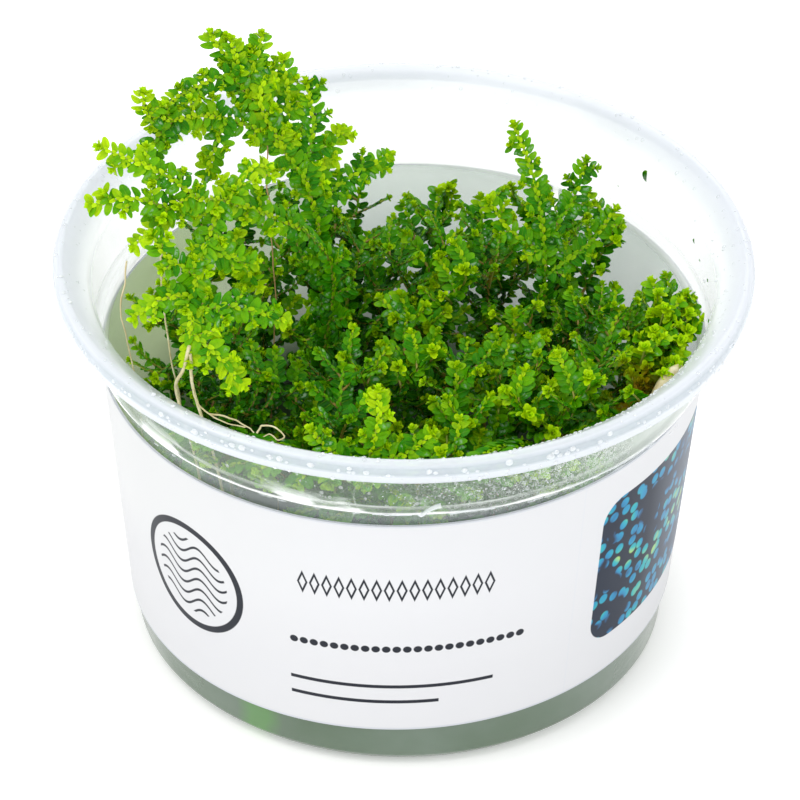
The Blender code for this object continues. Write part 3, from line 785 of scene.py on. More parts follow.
def cupPaint():
    # Thin clear plastic: nearly unseen face on, whiter where it turns away and at the rim, and whiter on the
    # ledge as a painted highlight.
    # Low down the gel wets the wall, which takes its colour; the front of the collar is fogged with fine
    # bubbles.
    look, opacity = cupLook, cupLook["opacity"]
    paint = Paint("clearPlastic", IOR=1.46, Coat_Weight=0.3, Coat_Roughness=0.05)
    x, y, height = paint.parts(paint.place())
    haze = paint.grain(120, 4)
    fine = paint.grain(1600, 2)
    cloud = paint.grain(46, 3)
    edge = paint.facing(0.35)
    front = y.below(-0.012, 0.02)
    reach = (x * x + y * y) ** 0.5

    # zones, by height and by distance from the middle
    rim = height.above(0.0597, 0.0020)
    skirt = rim * reach.above(0.0470, 0.0030)
    stripe = skirt * height.near(0.0622, 0.00068, 0.0005) * reach.above(0.0498, 0.0003)
    ledge = height.near(0.0502, 0.0007, 0.0008)
    collar = height.near(0.0535, 0.0046, 0.0010)
    wet = height.below(0.0138, 0.0012)
    milk = ((x - 0.024) / 0.016).clamped() * height.near(0.0530, 0.0056, 0.0010) * front
    clear = opacity["wall"] + height.above(0.0480, 0.0010) * opacity["collar"]
    alpha = clear + haze * opacity["haze"] + edge ** 2.0 * opacity["edge"] + rim * opacity["rim"]
    alpha = alpha + skirt * opacity["skirt"] + ledge * opacity["ledge"] + stripe * opacity["stripe"]
    alpha = alpha + milk * opacity["milk"] + collar * front * (1.0 - milk) * opacity["window"]
    colour = paint.mix(edge * 0.85, look["faceOn"], look["turnedAway"])
    colour = paint.mix(rim * 0.7, colour, look["rim"])
    colour = paint.mix(collar * front * 0.8, colour, look["collar"])
    colour = paint.mix(skirt * 0.8, colour, look["skirt"])
    colour = paint.mix(stripe * 0.8, colour, look["stripe"])

    # smears and lines of water by the ledge, painted white: the wavy line along the ledge is a painted
    # highlight
    turn = paint.node("ShaderNodeMath", {"operation": "ARCTAN2"}, y, x) * 0.0447
    plane = paint.node("ShaderNodeCombineXYZ", {}, turn, height, 0.0)
    flow = paint.node("ShaderNodeCombineXYZ", {}, turn * 0.42, height * 1.5, 0.0)
    smear = (paint.grain(150, 3, flow) - x * 3.0).above(0.585, 0.05)
    smear = smear * height.near(0.0512, 0.0012, 0.0016) * front
    line = abs(height - 0.0504 + (paint.grain(75, 2) - 0.5) * 0.0018).below(0.00034, 0.0003)
    creep = paint.grain(90, 1).near(0.5, 0.007, 0.008) * paint.grain(38, 1).above(0.52, 0.08) * collar
    waterAndGlint = (line * 0.8 + creep * 0.35).clamped() * front

    # fog of fine bubbles on the inside, denser to the right
    fog = ((x + 0.010) / 0.032 + (cloud - 0.5) * 1.2).clamped() * height.near(0.0535, 0.0050, 0.0010) * front
    inside = (reach - (height - 0.0513) * 0.07).below(0.04455, 0.0002)
    small = paint.cells(plane, Scale=1500).near(0.27, 0.05, 0.06)
    large = paint.cells(plane, Scale=640).near(0.17, 0.025, 0.03)
    bubble = (small + large).clamped() * fog * inside
    alpha = alpha + fog * inside * opacity["fog"] + bubble * opacity["bubble"] + smear * opacity["smear"]
    alpha = alpha.clamped() * (1.0 - height.below(0.0280, 0.0120) * 0.75)
    alpha = alpha.covering(0.92, waterAndGlint).covering(0.93, wet)
    # painted highlights: the ledge and the line along it turn white, and the smears as bright as their
    # highlights; water, bubbles and the milky film take the same white
    glare = (ledge * 0.8 + waterAndGlint + bubble + smear + milk * 0.7).clamped()
    colour = paint.mix(glare, colour, look["waterAndGlint"])

    # the gel behind the wetted wall
    gel = paint.ramp(cloud * 0.8 + haze * 0.2, *look["gel"])
    gel = paint.mix(paint.grain(95, 2).below(0.30, 0.06) * 0.6, gel, look["sprout"])
    patch = abs(x + 0.0205 + (cloud - 0.5) * 0.010).below(0.0018, 0.0018) * front
    gel = paint.mix(patch * 0.55, gel, look["patch"])
    colour = paint.mix(wet, colour, gel)
    return paint.feed(Base_Color=colour, Roughness=0.10 + haze * 0.12 + rim * 0.08, Alpha=alpha.clamped(),
                      Normal=paint.bump(haze + fine * 0.06, 0.25, 0.0006))


dropColours = ((0.90, 0.93, 0.95), (0.72, 0.78, 0.82))    # face on, and at the edge


def dropPaint(name, core):
    # A bead of water: its core lets through what is behind it, its edge is bright.
    paint = Paint(name, Roughness=0.02, IOR=1.33, Coat_Weight=1.0, Coat_Roughness=0.02)
    edge = paint.facing(0.5)
    alpha = (core + edge ** 1.5 * 0.60).clamped()
    return paint.feed(Base_Color=paint.mix(edge, *dropColours), Alpha=alpha)


labelSizes = {
    "bottom": 8.2, "top": 48.0, "thickness": 0.36,
    "seam": 58.0, "gap": 1.0,    # the butt seam's angle in degrees, and how far it stands open
    "fit": 0.3,                  # between the film and the wall
    "lean": (1.2, 0.6, 0.3),     # the film sits higher on the right and behind: by X, by Y, all round
    "under": 0.65,               # its top stays this far below the ledge
}
labelHeight = labelSizes["top"] - labelSizes["bottom"]
labelPrint = {
    "ink": (0.010, 0.013, 0.022),
    "paper": ((0.682, 0.686, 0.706), (0.650, 0.655, 0.682)),
    # edge is painted shade along the film's top and bottom; seam tints the faint fold line
    "edge": (0.42, 0.46, 0.54), "seam": (0.60, 0.64, 0.70),
    "soft": 0.12,                            # edge of the print
    "ring": (-33.0, 20.0, 9.2, 0.55),        # place along the label from the front, height, radius, half line
    "waves": (0.85, 1.1, 2.0, 0.24),         # swing and height of a wave, gap between two, half line
    "lozenges": (-14.5, 13.5, 27.5),         # from, to, height
    "dots": (-16.0, 18.5, 16.0),
    "rules": ((-16.0, 14.0, 8.6), (-16.0, 6.0, 5.6)),
    "panelBox": (45.0, 20.5, 14.5, 13.5, 4.0),    # place, height, half sizes, corner radius
    "panel": (0.006, 0.014, 0.034), "sheen": (0.30, 0.38, 0.50),
    "beads": ((0.42, (0.020, 0.130, 0.330)), (0.50, (0.010, 0.270, 0.480)), (0.58, (0.020, 0.420, 0.430)),
              (0.68, (0.500, 0.660, 0.060))),
    "fold": 26.5,                            # a faint upright line in the paper
}


def labelPaint(length, front):
    # Satin film with a plain print: a ring of waves, rows of marks, and a dark panel of coloured beads.
    look, soft = labelPrint, labelPrint["soft"]
    paint = Paint("labelFilm", Specular_IOR_Level=0.25)
    u, v, _ = paint.parts(paint.node("ShaderNodeUVMap", {"uv_map": "UVMap"}))
    s = (u - front) * length
    h = v * labelHeight

    def within(value, low, high):
        return (low - value).below(0.0, soft) * (value - high).below(0.0, soft)

    def distance(across, up):
        return (across * across + up * up) ** 0.5

    cx, cy, radius, line = look["ring"]
    across, up = s - cx, h - cy
    reach = distance(across, up)
    swing, swell, gap, halfLine = look["waves"]
    wave = up - paint.node("ShaderNodeMath", {"operation": "SINE"}, across * swing) * swell
    waves = (wave + 20.0).zigzag(gap).near(gap / 2, halfLine, soft)
    ink = (abs(reach - radius).below(line, soft) + waves * reach.below(radius - 2.2, 0.15)).clamped()

    low, high, level = look["lozenges"]
    cell = (s - low).zigzag(1.75)
    lozenge = (abs(cell - 0.875) + abs(h - level) * 0.36).near(0.62, 0.16, 0.10)
    ink = (ink + lozenge * within(s, low, high) * within(h, level - 2.8, level + 2.8)).clamped()
    low, high, level = look["dots"]
    spot = distance((s - low).zigzag(1.5) - 0.75, h - level).below(0.62, soft)
    ink = (ink + spot * within(s, low, high)).clamped()
    for low, high, level in look["rules"]:
        ink = (ink + h.near(level, 0.32, 0.1) * within(s, low, high)).clamped()

    px, py, halfWidth, halfHeight, corner = look["panelBox"]
    dx = (abs(s - px) - (halfWidth - corner)).atLeast(0.0)
    dy = (abs(h - py) - (halfHeight - corner)).atLeast(0.0)
    panel = distance(dx, dy).below(corner, soft)
    plane = paint.node("ShaderNodeCombineXYZ", {}, s, h, 0.0)
    tone = paint.grain(0.13, 2, plane)
    bead = paint.cells(plane, Scale=0.44, Randomness=0.7).below(0.36, 0.10) * tone.above(0.44, 0.05)
    panelColour = paint.mix(bead, look["panel"], paint.ramp(tone, *look["beads"]))
    sheen = ((s - px + 4.0) / 20.0).clamped() * (0.25 + tone * 0.5)
    panelColour = paint.mix(sheen, panelColour, look["sheen"])

    paper = paint.mix(paint.grain(60, 3) * 0.5, *look["paper"])
    # painted shade: a soft grey-blue line along the film's top and bottom edges
    edge = (h.below(0.35, 0.15) + (labelHeight - h).below(0.3, 0.15)).clamped()
    paper = paint.mix(edge * 0.4, paper, look["edge"])
    paper = paint.mix(s.near(look["fold"], 0.10, 0.1) * 0.25, paper, look["seam"])
    colour = paint.mix(ink, paper, look["ink"])
    colour = paint.mix(panel, colour, panelColour)
    ripple = paint.grain(55, 2)
    paint.glow(colour, 0.12)
    bump = paint.bump(ripple, 0.2, 0.0006)
    return paint.feed(Base_Color=colour, Roughness=0.28 + ripple * 0.16, Normal=bump)


backColours = {
    "mist": ((0.3, (0.84, 0.89, 0.85)), (0.7, (0.91, 0.94, 0.91))),
    # painted shade: greener towards the left, dark green low down
    "left": (0.64, 0.77, 0.38),
    "low": (0.024, 0.065, 0.010),
}


def backPaint():
    # The label's back, seen through the wall: it glows pale grey-green, which stands in for the light that
    # comes through the film, with painted shade that makes it greener on the left and dark low down.
    # its emission is a painted glow that stands in for the light coming through the film
    paint = Paint("labelBack", Roughness=0.6, Specular_IOR_Level=0.1, Emission_Strength=0.64)
    x, _, height = paint.parts(paint.place())
    mist = paint.grain(90, 4)
    colour = paint.ramp(mist, *backColours["mist"])
    # painted shade: greener towards the left, dark green low down
    colour = paint.mix(x.below(-0.022, 0.024) * 0.75, colour, backColours["left"])
    colour = paint.mix(height.below(0.0250, 0.0150) * 0.92, colour, backColours["low"])
    paint.glow(colour, 0.5)
    return paint.feed(Base_Color=colour, Emission_Color=colour, Normal=paint.bump(mist, 0.15, 0.0005))


def floorPaint():
    paint = Paint("studioFloor", Roughness=0.7, Specular_IOR_Level=0.2, Emission_Strength=0.26)
    colour = paint.ramp(paint.grain(6, 2), (0.3, (0.905, 0.905, 0.905)), (0.7, (0.925, 0.925, 0.925)))
    return paint.feed(Base_Color=colour, Emission_Color=colour)


# Modelling with Blender's operators.

def deselect():
    if bpy.context.object and bpy.context.object.mode != "OBJECT":
        bpy.ops.object.mode_set(mode="OBJECT")
    bpy.ops.object.select_all(action="DESELECT")


def pickOnly(piece):
    deselect()
    piece.select_set(True)
    bpy.context.view_layer.objects.active = piece


def keepPlace(piece, name):
    # Puts the finished piece's place into its mesh.
    pickOnly(piece)
    bpy.ops.object.transform_apply(location=True, rotation=True, scale=True)
    piece.name = name
    piece.data.name = name
    return piece


def softened(profile, radius):
    # Rounds every corner of a profile with a short arc of three points.
    rounded = [profile[0]]
    for before, corner, after in zip(profile, profile[1:], profile[2:]):
        before, corner, after = Vector(before), Vector(corner), Vector(after)
        back, on = before - corner, after - corner
        cut = min(radius, 0.42 * back.length, 0.42 * on.length)
        start, end = corner + back.normalized() * cut, corner + on.normalized() * cut
        rounded += [tuple(start), tuple((start + 2 * corner + end) / 4), tuple(end)]
    rounded.append(profile[-1])
    return rounded


def turned(name, profile, segments):
    # A capped ring, extruded and resized along a profile of (radius, height) points.
    deselect()
    radius, height = profile[0]
    bpy.ops.mesh.primitive_circle_add(vertices=segments, radius=radius * mm, fill_type="NGON",
                                      location=(0, 0, height * mm))
    piece = bpy.context.object
    bpy.ops.object.mode_set(mode="EDIT")
    bpy.ops.mesh.select_all(action="SELECT")
    for (r0, z0), (r1, z1) in zip(profile, profile[1:]):
        bpy.ops.mesh.extrude_region_move(TRANSFORM_OT_translate={"value": (0, 0, (z1 - z0) * mm)})
        bpy.ops.transform.resize(value=(r1 / r0, r1 / r0, 1), center_override=(0, 0, z1 * mm))
    bpy.ops.mesh.select_all(action="SELECT")
    bpy.ops.mesh.normals_make_consistent(inside=False)
    bpy.ops.object.mode_set(mode="OBJECT")
    bpy.ops.object.shade_smooth_by_angle(angle=math.radians(40))
    return keepPlace(piece, name)


def dress(piece, paints, slot, *nodes):
    piece.data.materials.clear()
    for paint in paints:
        piece.data.materials.append(paint)
    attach(piece, "root")
    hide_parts(*nodes)
    return piece


def makeCup():
    top, rim, collar, ledge, wall = (cupSizes[key] for key in ("height", "rim", "collar", "ledge", "wall"))
    floor, (footInner, footOuter) = cupSizes["floor"], cupSizes["foot"]
    outside = [
        (footInner - 0.6, floor - wall), (footInner, 0), (footOuter, 0), (outerWall(2.0), 2.0),
        (outerWall(ledge), ledge - 0.5), (ledgeRadius, ledge + 0.5), (collar, top - 4.9),
        (46.7, top - 3.3), (48.5, top - 1.6), (49.7, top - 1.7), (49.8, top - 3.3), (rim, top - 3.3),
    ]
    inside = [
        (rim, top - 0.9), (50.0, top - 0.25), (49.2, top), (47.2, top - 1.5), (45.6, top - 2.9),
        (collar - wall, top - 4.5), (ledgeRadius - wall, ledge + 1.3), (outerWall(ledge) - wall, ledge + 0.3),
        (outerWall(3.4) - wall, 3.4), (outerWall(0) - wall - 1.0, floor), (30.0, floor),
    ]
    cup = turned("cup_shell", softened(outside + inside, cupLook["corner"]), cupLook["segments"])
    for vertex in cup.data.vertices:
        co = vertex.co
        nearLedge = math.exp(-((co.z / mm - ledge) / 1.6) ** 2)
        flat = Vector((co.x, co.y, 0)).normalized()
        spot = Vector((flat.x * 3.1, flat.y * 3.1, co.z / mm * 0.05))
        shift = noise.noise(spot) * (0.25 + nearLedge * 1.6) * cupLook["wobble"]
        if 2.5 * mm < co.z < (top - 3.5) * mm:
            vertex.co = co + flat * shift * mm
    return dress(cup, [cupPaint()], "clear_cup", "cup")


def makeLabel():
    # A flat film, wrapped round the wall by its place, then given its thickness.
    sizes = labelSizes
    deselect()
    bpy.ops.mesh.primitive_grid_add(x_subdivisions=216, y_subdivisions=10, size=1)
    label = bpy.context.object
    gap = sizes["gap"] / outerWall(sizes["bottom"])
    start = math.radians(sizes["seam"]) + gap
    leanX, leanY, lift = sizes["lean"]
    for vertex in label.data.vertices:
        angle = start + (vertex.co.x + 0.5) * (2 * math.pi - gap)
        z = sizes["bottom"] + (vertex.co.y + 0.5) * labelHeight
        leaned = z + leanX * math.cos(angle) + leanY * math.sin(angle) + lift
        z = min(leaned, cupSizes["ledge"] - sizes["under"])
        radius = outerWall(z) + sizes["fit"]
        vertex.co = (radius * math.cos(angle) * mm, radius * math.sin(angle) * mm, z * mm)
    solid = label.modifiers.new("film", "SOLIDIFY")
    solid.thickness = sizes["thickness"] * mm
    solid.offset = 1.0
    solid.material_offset = 1
    solid.material_offset_rim = 0
    label.data.materials.append(None)
    label.data.materials.append(None)
    pickOnly(label)
    bpy.ops.object.modifier_apply(modifier=solid.name)
    bpy.ops.object.shade_smooth_by_angle(angle=math.radians(40))
    keepPlace(label, "label_wrap")
    length = (2 * math.pi - gap) * (outerWall(28) + sizes["fit"])
    front = (math.radians(270) - start) / (2 * math.pi - gap)
    marks = [polygon.material_index for polygon in label.data.polygons]
    dress(label, [labelPaint(length, front), backPaint()], "label_film", "label")
    label.data.polygons.foreach_set("material_index", marks)
    return label


gelLook = {"segments": 128, "fit": 0.3, "ripple": 0.3}    # fit is the gap to the cup


def makeGel():
    fit, wall, floor = gelLook["fit"], cupSizes["wall"], cupSizes["floor"]
    top = outerWall(gelTop) - wall - fit
    profile = [(30.0, floor + fit), (outerWall(0) - wall - 1.4, floor + fit),
               (outerWall(3.6) - wall - fit, 3.7),
               (top, gelTop - 0.05), (top - 0.8, gelTop - 0.3)]
    profile += [(top - step, gelTop - 0.32) for step in (4, 9, 15, 22, 29, 35)]
    gel = turned("gel_bed", profile, gelLook["segments"])
    for vertex in gel.data.vertices:
        if vertex.co.z > (gelTop - 1) * mm and Vector(vertex.co[:2]).length < (top - 2) * mm:
            vertex.co.z += noise.noise(vertex.co / mm * 0.16) * gelLook["ripple"] * mm
    return dress(gel, [gelPaint()], "culture_gel", "gel")


# Foliage: each shoot keeps the skeleton of its solid and is dressed leaf by leaf.

leafShapes = {
    # rings, how much broader the heel is than the tip, how far the tip bends down, how far the edges lift,
    # and the teeth
    "smooth": {"rings": 6, "heel": 0.20, "curl": 0.18, "cup": 0.12, "teeth": 0.0},
    "curled": {"rings": 6, "heel": 0.14, "curl": 0.40, "cup": 0.30, "teeth": 0.0},
    "toothed": {"rings": 8, "heel": 0.22, "curl": 0.08, "cup": 0.22, "teeth": 0.15},
}
leafThickness = 0.05     # of a leaf's length, at its vein


def ballParts(segments, rings, radius):
    # The points and triangles of a ball, as the start of a leaf or a bead.
    deselect()
    bpy.ops.mesh.primitive_uv_sphere_add(segments=segments, ring_count=rings, radius=radius)
    ball = bpy.context.object
    mesh = ball.data
    points = [vertex.co.copy() for vertex in mesh.vertices]
    triangles = []
    for polygon in mesh.polygons:
        face = list(polygon.vertices)
        triangles += [(face[0], b, c) for b, c in zip(face[1:], face[2:])]
    bpy.data.objects.remove(ball)
    bpy.data.meshes.remove(mesh)
    return points, np.array(triangles)


def leafTemplate(kind):
    # A ball of four sides, pressed into a leaf: left edge, vein, right edge and underside at each ring.
    shape = leafShapes[kind]
    rings = shape["rings"]
    ball, triangles = ballParts(4, rings, 0.5)
    points, maps = [], []
    for co in ball:
        share = 0.5 - co.z
        full = max(0.0, 1 - abs(2 * share - 1) ** 2.3) ** 0.48
        level = round(math.acos(max(-1, min(1, 1 - 2 * share))) / math.pi * rings)
        across, up = 0.0, 0.0
        if 0 < level < rings:
            side = round(max(-1, min(1, co.x * 20)))
            breadth = full * (1 + shape["heel"] * (0.5 - share) * 2)
            breadth *= 1 + (shape["teeth"] if level % 2 else -shape["teeth"])
            across = side * breadth * 0.5
            up = 0.0 if side else math.copysign(leafThickness, co.y)
        forward = share + abs(across) * shape["teeth"] * 0.8
        fold = abs(across) * 0.16
        lift = up + fold + shape["cup"] * across * across * 2.0 - shape["curl"] * share * share * 0.5
        points.append((across, forward, lift))
        maps.append((across + 0.5, share))
    points = np.array(points)
    a, b, c = (points[triangles[:, i]] for i in range(3))
    if np.einsum("ij,ij->i", a, np.cross(b, c)).sum() < 0:
        triangles = triangles[:, ::-1]
    return points, triangles, np.array(maps)


class Spray:
    # The leaves and stems of one piece, until its mesh is made.
    def __init__(self):
        self.leaves = {kind: [] for kind in leafShapes}
        self.stems = []

    def leaf(self, kind, place, way, face, length, breadth, age):
        way = way.normalized()
        face = (face - way * face.dot(way)).normalized()
        self.leaves[kind].append((*place, *way, *face, length, breadth, min(1.0, max(0.0, age))))

    def stem(self, route, start, end, ages):
        self.stems.append((route, start, end, ages))


class Heap:
    # Points and triangles of one mesh, each with its age, its place on the leaf and its material's number.
    def __init__(self):
        self.rows = []
        self.count = 0

    def add(self, points, triangles, ages, maps, material):
        self.rows.append((points, triangles + self.count, ages, maps, np.full(len(triangles), material)))
        self.count += len(points)

    def addTube(self, route, start, end, ages, material, sides=6):
        # A round stem that tapers to its end, with its age from end to end.
        points, faces = tubeParts(route, start, end, sides)
        shares = np.repeat(np.arange(len(route)) / (len(route) - 1), sides)
        self.add(np.array(points), np.array(faces), ages[0] + (ages[1] - ages[0]) * shares,
                 np.zeros((len(points), 2)), material)

    def joined(self):
        return (np.concatenate(row) for row in zip(*self.rows))


def meshOf(name, points, triangles, ages, maps):
    mesh = bpy.data.meshes.new(name)
    mesh.vertices.add(len(points))
    mesh.vertices.foreach_set("co", (points * mm).astype(np.float32).ravel())
    mesh.loops.add(triangles.size)
    mesh.loops.foreach_set("vertex_index", triangles.astype(np.int32).ravel())
    mesh.polygons.add(len(triangles))
    mesh.polygons.foreach_set("loop_start", np.arange(0, triangles.size, 3, dtype=np.int32))
    mesh.update(calc_edges=True)
    mesh.attributes.new("age", "FLOAT", "POINT").data.foreach_set("value", ages.astype(np.float32))
    layer = mesh.uv_layers.new(name="leafMap")
    layer.data.foreach_set("uv", maps[triangles.ravel()].astype(np.float32).ravel())
    mesh.shade_smooth()
    mesh.set_sharp_from_angle(angle=math.radians(62))
    mesh.validate()
    piece = bpy.data.objects.new(name, mesh)
    bpy.context.scene.collection.objects.link(piece)
    return piece


def plantPiece(name, spray, paints, slot, *nodes, pressed=True):
    # One mesh of a spray's leaves and stems: leaves wear the first paint, stems the second.
    heap = Heap()
    for kind, rows in spray.leaves.items():
        if not rows:
            continue
        shape, faces, leafMap = templates[kind]
        rows = np.array(rows)
        place, way, face = rows[:, None, 0:3], rows[:, None, 3:6], rows[:, None, 6:9]
        length, breadth, age = rows[:, None, 9:10], rows[:, None, 10:11], rows[:, 11]
        across = np.cross(way, face)
        made = place + across * shape[None, :, 0:1] * breadth + way * shape[None, :, 1:2] * length \
            + face * shape[None, :, 2:3] * length
        starts = np.arange(len(rows))[:, None, None] * len(shape)
        heap.add(made.reshape(-1, 3), (faces[None] + starts).reshape(-1, 3), np.repeat(age, len(shape)),
                 np.tile(leafMap, (len(rows), 1)), 0)
    for stem in spray.stems:
        heap.addTube(*stem, 1)
    points, triangles, ages, maps, materials = heap.joined()
    if pressed:
        keepInside(points)
    piece = meshOf(name, points, triangles, ages, maps)
    dress(piece, paints, slot, *nodes)
    piece.data.polygons.foreach_set("material_index", materials.astype(np.int32))
    return piece


topSqueeze = 6.0    # leaves this far under the solids' top are pressed down to stay below it


def keepInside(points):
    # Leaves that reach the wall lie flat against it, as wet leaves do.
    z = points[:, 2]
    height, wall = cupSizes["height"], cupSizes["wall"]
    limit = np.where(z < cupSizes["ledge"] + 1, outerWall(z) - wall - 0.35, ledgeRadius - wall - 0.45)
    limit = np.where(z > height - 4, limit + (z - height + 4) * 1.1, limit)
    limit = np.where(z > height + 0.3, 60.0, limit)
    radius = np.hypot(points[:, 0], points[:, 1])
    shrink = np.minimum(1.0, limit / np.maximum(radius, 1e-6))
    points[:, 0] *= shrink
    points[:, 1] *= shrink
    start = cadBox[1].z / mm - 0.1 - topSqueeze
    high = z > start
    if high.any():
        over = z[high] - start
        points[high, 2] = start + over * topSqueeze / max(topSqueeze, over.max())


# How leaves sit along a twig. Pairs are the least and the most of an even draw, and lengths are shares of the
# twig's leaf size.
twigLook = {
    "end": 0.3,               # bare millimetres before the tip
    "smaller": 0.25,          # how much smaller the last leaves are
    "closer": 0.3,            # and how much closer
    "gap": (0.86, 1.14),
    # forward is a side leaf's lean along the twig: at the foot, its growth to the tip, and its stray
    "side": {
        "length": (0.86, 1.12), "forward": (0.40, 0.25, 0.14), "lift": (-0.12, 0.20), "roll": (-0.35, 0.10),
        "pitch": (-0.1, 0.25), "stray": 0.3, "age": (-0.26, 0.06), "kinds": ("smooth", "smooth", "curled"),
    },
    "top": {
        "length": (0.38, 0.54), "breadth": 0.60, "spread": (0.22, 0.45), "lift": (0.06, 0.28), "pitch": 0.25,
        "age": (0.04, 0.28),
    },
    # crowded tip: forward, out and length are the outermost leaf's, then the change to the innermost
    "tip": {
        "turn": 2.4, "forward": (0.30, 0.95), "out": (1.0, 0.72), "spread": (0.85, 1.15),
        "length": (0.66, 0.24), "vary": (0.88, 1.14), "back": 0.30, "breadth": 0.74, "age": (-0.1, 0.08),
        "younger": 0.12,
    },
}


def rosette(spray, place, way, face, size, age, chance, count):
    # Small toothed leaves crowd round a twig's tip, the innermost most upright.
    look = twigLook["tip"]
    across = way.cross(face)
    turn = chance.uniform(0, math.tau)
    for index in range(count):
        angle = turn + index * look["turn"]
        inner = index / (count - 1)
        out = across * math.cos(angle) + face * math.sin(angle)
        lead = way * (look["forward"][0] + look["forward"][1] * inner) \
            + out * (look["out"][0] - look["out"][1] * inner) * chance.uniform(*look["spread"])
        length = size * (look["length"][0] - look["length"][1] * inner) * chance.uniform(*look["vary"])
        root = place - way * size * look["back"] * (1 - inner)
        spray.leaf("toothed", root, lead, way * 0.9 - out * 0.6, length, length * look["breadth"],
                   age + look["younger"] * inner + chance.uniform(*look["age"]))


def leafyTwig(spray, route, size, ages, chance, spacing=1.3, bare=0.06, roll=0.0, thick=(0.24, 0.16), tip=9,
              outlook=upward, loose=1.0, broad=(0.60, 0.72)):
    # A twig with its two rows of side leaves, the smaller leaves along its top, and its crowded tip.
    spray.stem(route, *thick, (ages[0] * 0.8, ages[1]))
    total = routeLength(route)
    at = bare * total
    flip = chance.choice((-1, 1))
    while at < total - twigLook["end"]:
        share = at / total
        place, way = along(route, share)
        face = faceAt(place, way, roll, outlook)
        across = way.cross(face)
        age = ages[0] + (ages[1] - ages[0]) * share ** 1.4
        grown = size * (1.0 - twigLook["smaller"] * share ** 3)
        look = twigLook["side"]
        least, more, yaw = look["forward"]
        for side in (-1, 1):
            length = grown * chance.uniform(*look["length"])
            lead = across * side + way * (least + more * share + loose * chance.uniform(-yaw, yaw)) \
                + face * loose * chance.uniform(*look["lift"])
            tilt = face + across * side * loose * chance.uniform(*look["roll"]) \
                - way * chance.uniform(*look["pitch"])
            kind = chance.choice(look["kinds"])
            stray = chance.uniform(-look["stray"], look["stray"])
            root = place + way * stray + across * side * thick[0] * 0.4
            spray.leaf(kind, root, lead, tilt, length, length * chance.uniform(*broad),
                       age + chance.uniform(*look["age"]))
        look = twigLook["top"]
        for step in (0.0, 0.5):
            flip = -flip
            length = grown * chance.uniform(*look["length"])
            lead = way + across * flip * chance.uniform(*look["spread"]) \
                + face * chance.uniform(*look["lift"])
            root = place + way * step * spacing + face * thick[0] * 0.9
            spray.leaf("smooth", root, lead, face - way * look["pitch"], length, length * look["breadth"],
                       age + chance.uniform(*look["age"]))
        at += spacing * (1.0 - twigLook["closer"] * share) * chance.uniform(*twigLook["gap"])
    if tip:
        place, way = along(route, 1.0)
        rosette(spray, place, way, faceAt(place, way, roll, outlook), size, ages[1], chance, tip)


def bentTwig(root, way, face, length, lift):
    # A short twig that leaves along its way and lifts towards its upper side.
    middle = root + way * length * 0.55 + face * lift * length * 0.2
    return smoothRoute([root, middle, root + way * length + face * lift * length * 0.75], 2)


bushLook = {
    "seed": 41,
    "leaf": 1.7,
    "near": 1.14,             # the front shoots' leaves are larger by this
    "vary": (0.86, 1.12),
    "deep": (0.02, 0.22),     # how much older than usual a shoot looks
    "deepFront": 0.16,        # and how much more at the front left and at the rear
    "deepRear": 0.05,
    # a branch: young and old end of its own leaves and of its side twigs', between twigs, twigs' lengths
    "ages": (0.36, 0.80),
    "sprigAges": (0.41, 0.83),
    "sprigGap": 2.0,
    "sprigLength": 1.12,      # as a share of the solid leaflet that it stands for
    # lower twigs: lowest root, and how many to a shoot, their lengths and rises
    "low": (27.0, 5),
    "lowLength": (6.0, 10.0),
    "lowRise": (25, 60),
    "rear": 28.5, "rearDrop": 5.5,    # shoots this far back hold their tips lower
    # shoots this far out at the front also reach for the wall: how many twigs, from what heights, how far
    "edge": 26.0,
    "wallTwigs": 8,
    "wallHeights": (38, 53),
    "wallReach": 41.6,
    # twigs that crowd against the wall on the right: their shoot, root and tip in millimetres
    "crowd": {
        "shoot_25": [((33, -3, 47), (40.2, -4, 57)), ((34, -4, 48), (41, -7, 58.4)),
                     ((34, -5, 48), (40.8, -10, 57.4)), ((33, -5, 49), (37.4, -7.4, 59.4)),
                     ((33, -6, 48), (39.6, -13, 58)), ((33, -6, 47), (36, -11.4, 58.4)),
                     ((33, -3, 48), (36.8, -1.6, 58))],
        "shoot_17": [((31, -13, 47), (38.6, -17, 57)), ((31, -14, 47), (37, -20.6, 57.6)),
                     ((30, -13, 48), (34.4, -15.6, 58.4)), ((30, -12, 47), (37.6, -14.6, 55))],
    },
}


def bushBranch(spray, route, width, chance, deep):
    # One branch of a bush shoot, with side twigs that stand for its leaflets.
    near = bushLook["near"] if route[0].y < -14 else 1.0
    leaf = bushLook["leaf"] * near * (1.28 - deep) * chance.uniform(*bushLook["vary"])
    roll = chance.uniform(-0.35, 0.35)
    ages = tuple(age - deep for age in bushLook["ages"])
    leafyTwig(spray, route, leaf, ages, chance, spacing=1.45, roll=roll)
    ages = tuple(age - deep for age in bushLook["sprigAges"])
    total = routeLength(route)
    at = 0.14 * total
    side = chance.choice((-1, 1))
    while at < total * 0.92:
        share = at / total
        place, way = along(route, share)
        face = faceAt(place, way, roll)
        across = way.cross(face)
        length = leafletReach(width, share) * bushLook["sprigLength"] * chance.uniform(0.8, 1.15)
        lead = across * side * 0.9 + way * (0.45 + 0.3 * share) + face * chance.uniform(0.15, 0.75)
        twig = bentTwig(place, lead.normalized(), face, length, chance.uniform(0.2, 0.7))
        leafyTwig(spray, twig, leaf * chance.uniform(0.72, 1.0), ages, chance, spacing=1.2, bare=0.2,
                  roll=chance.uniform(-0.6, 0.6), thick=(0.20, 0.14))
        side = -side
        at += bushLook["sprigGap"] * chance.uniform(0.75, 1.25)


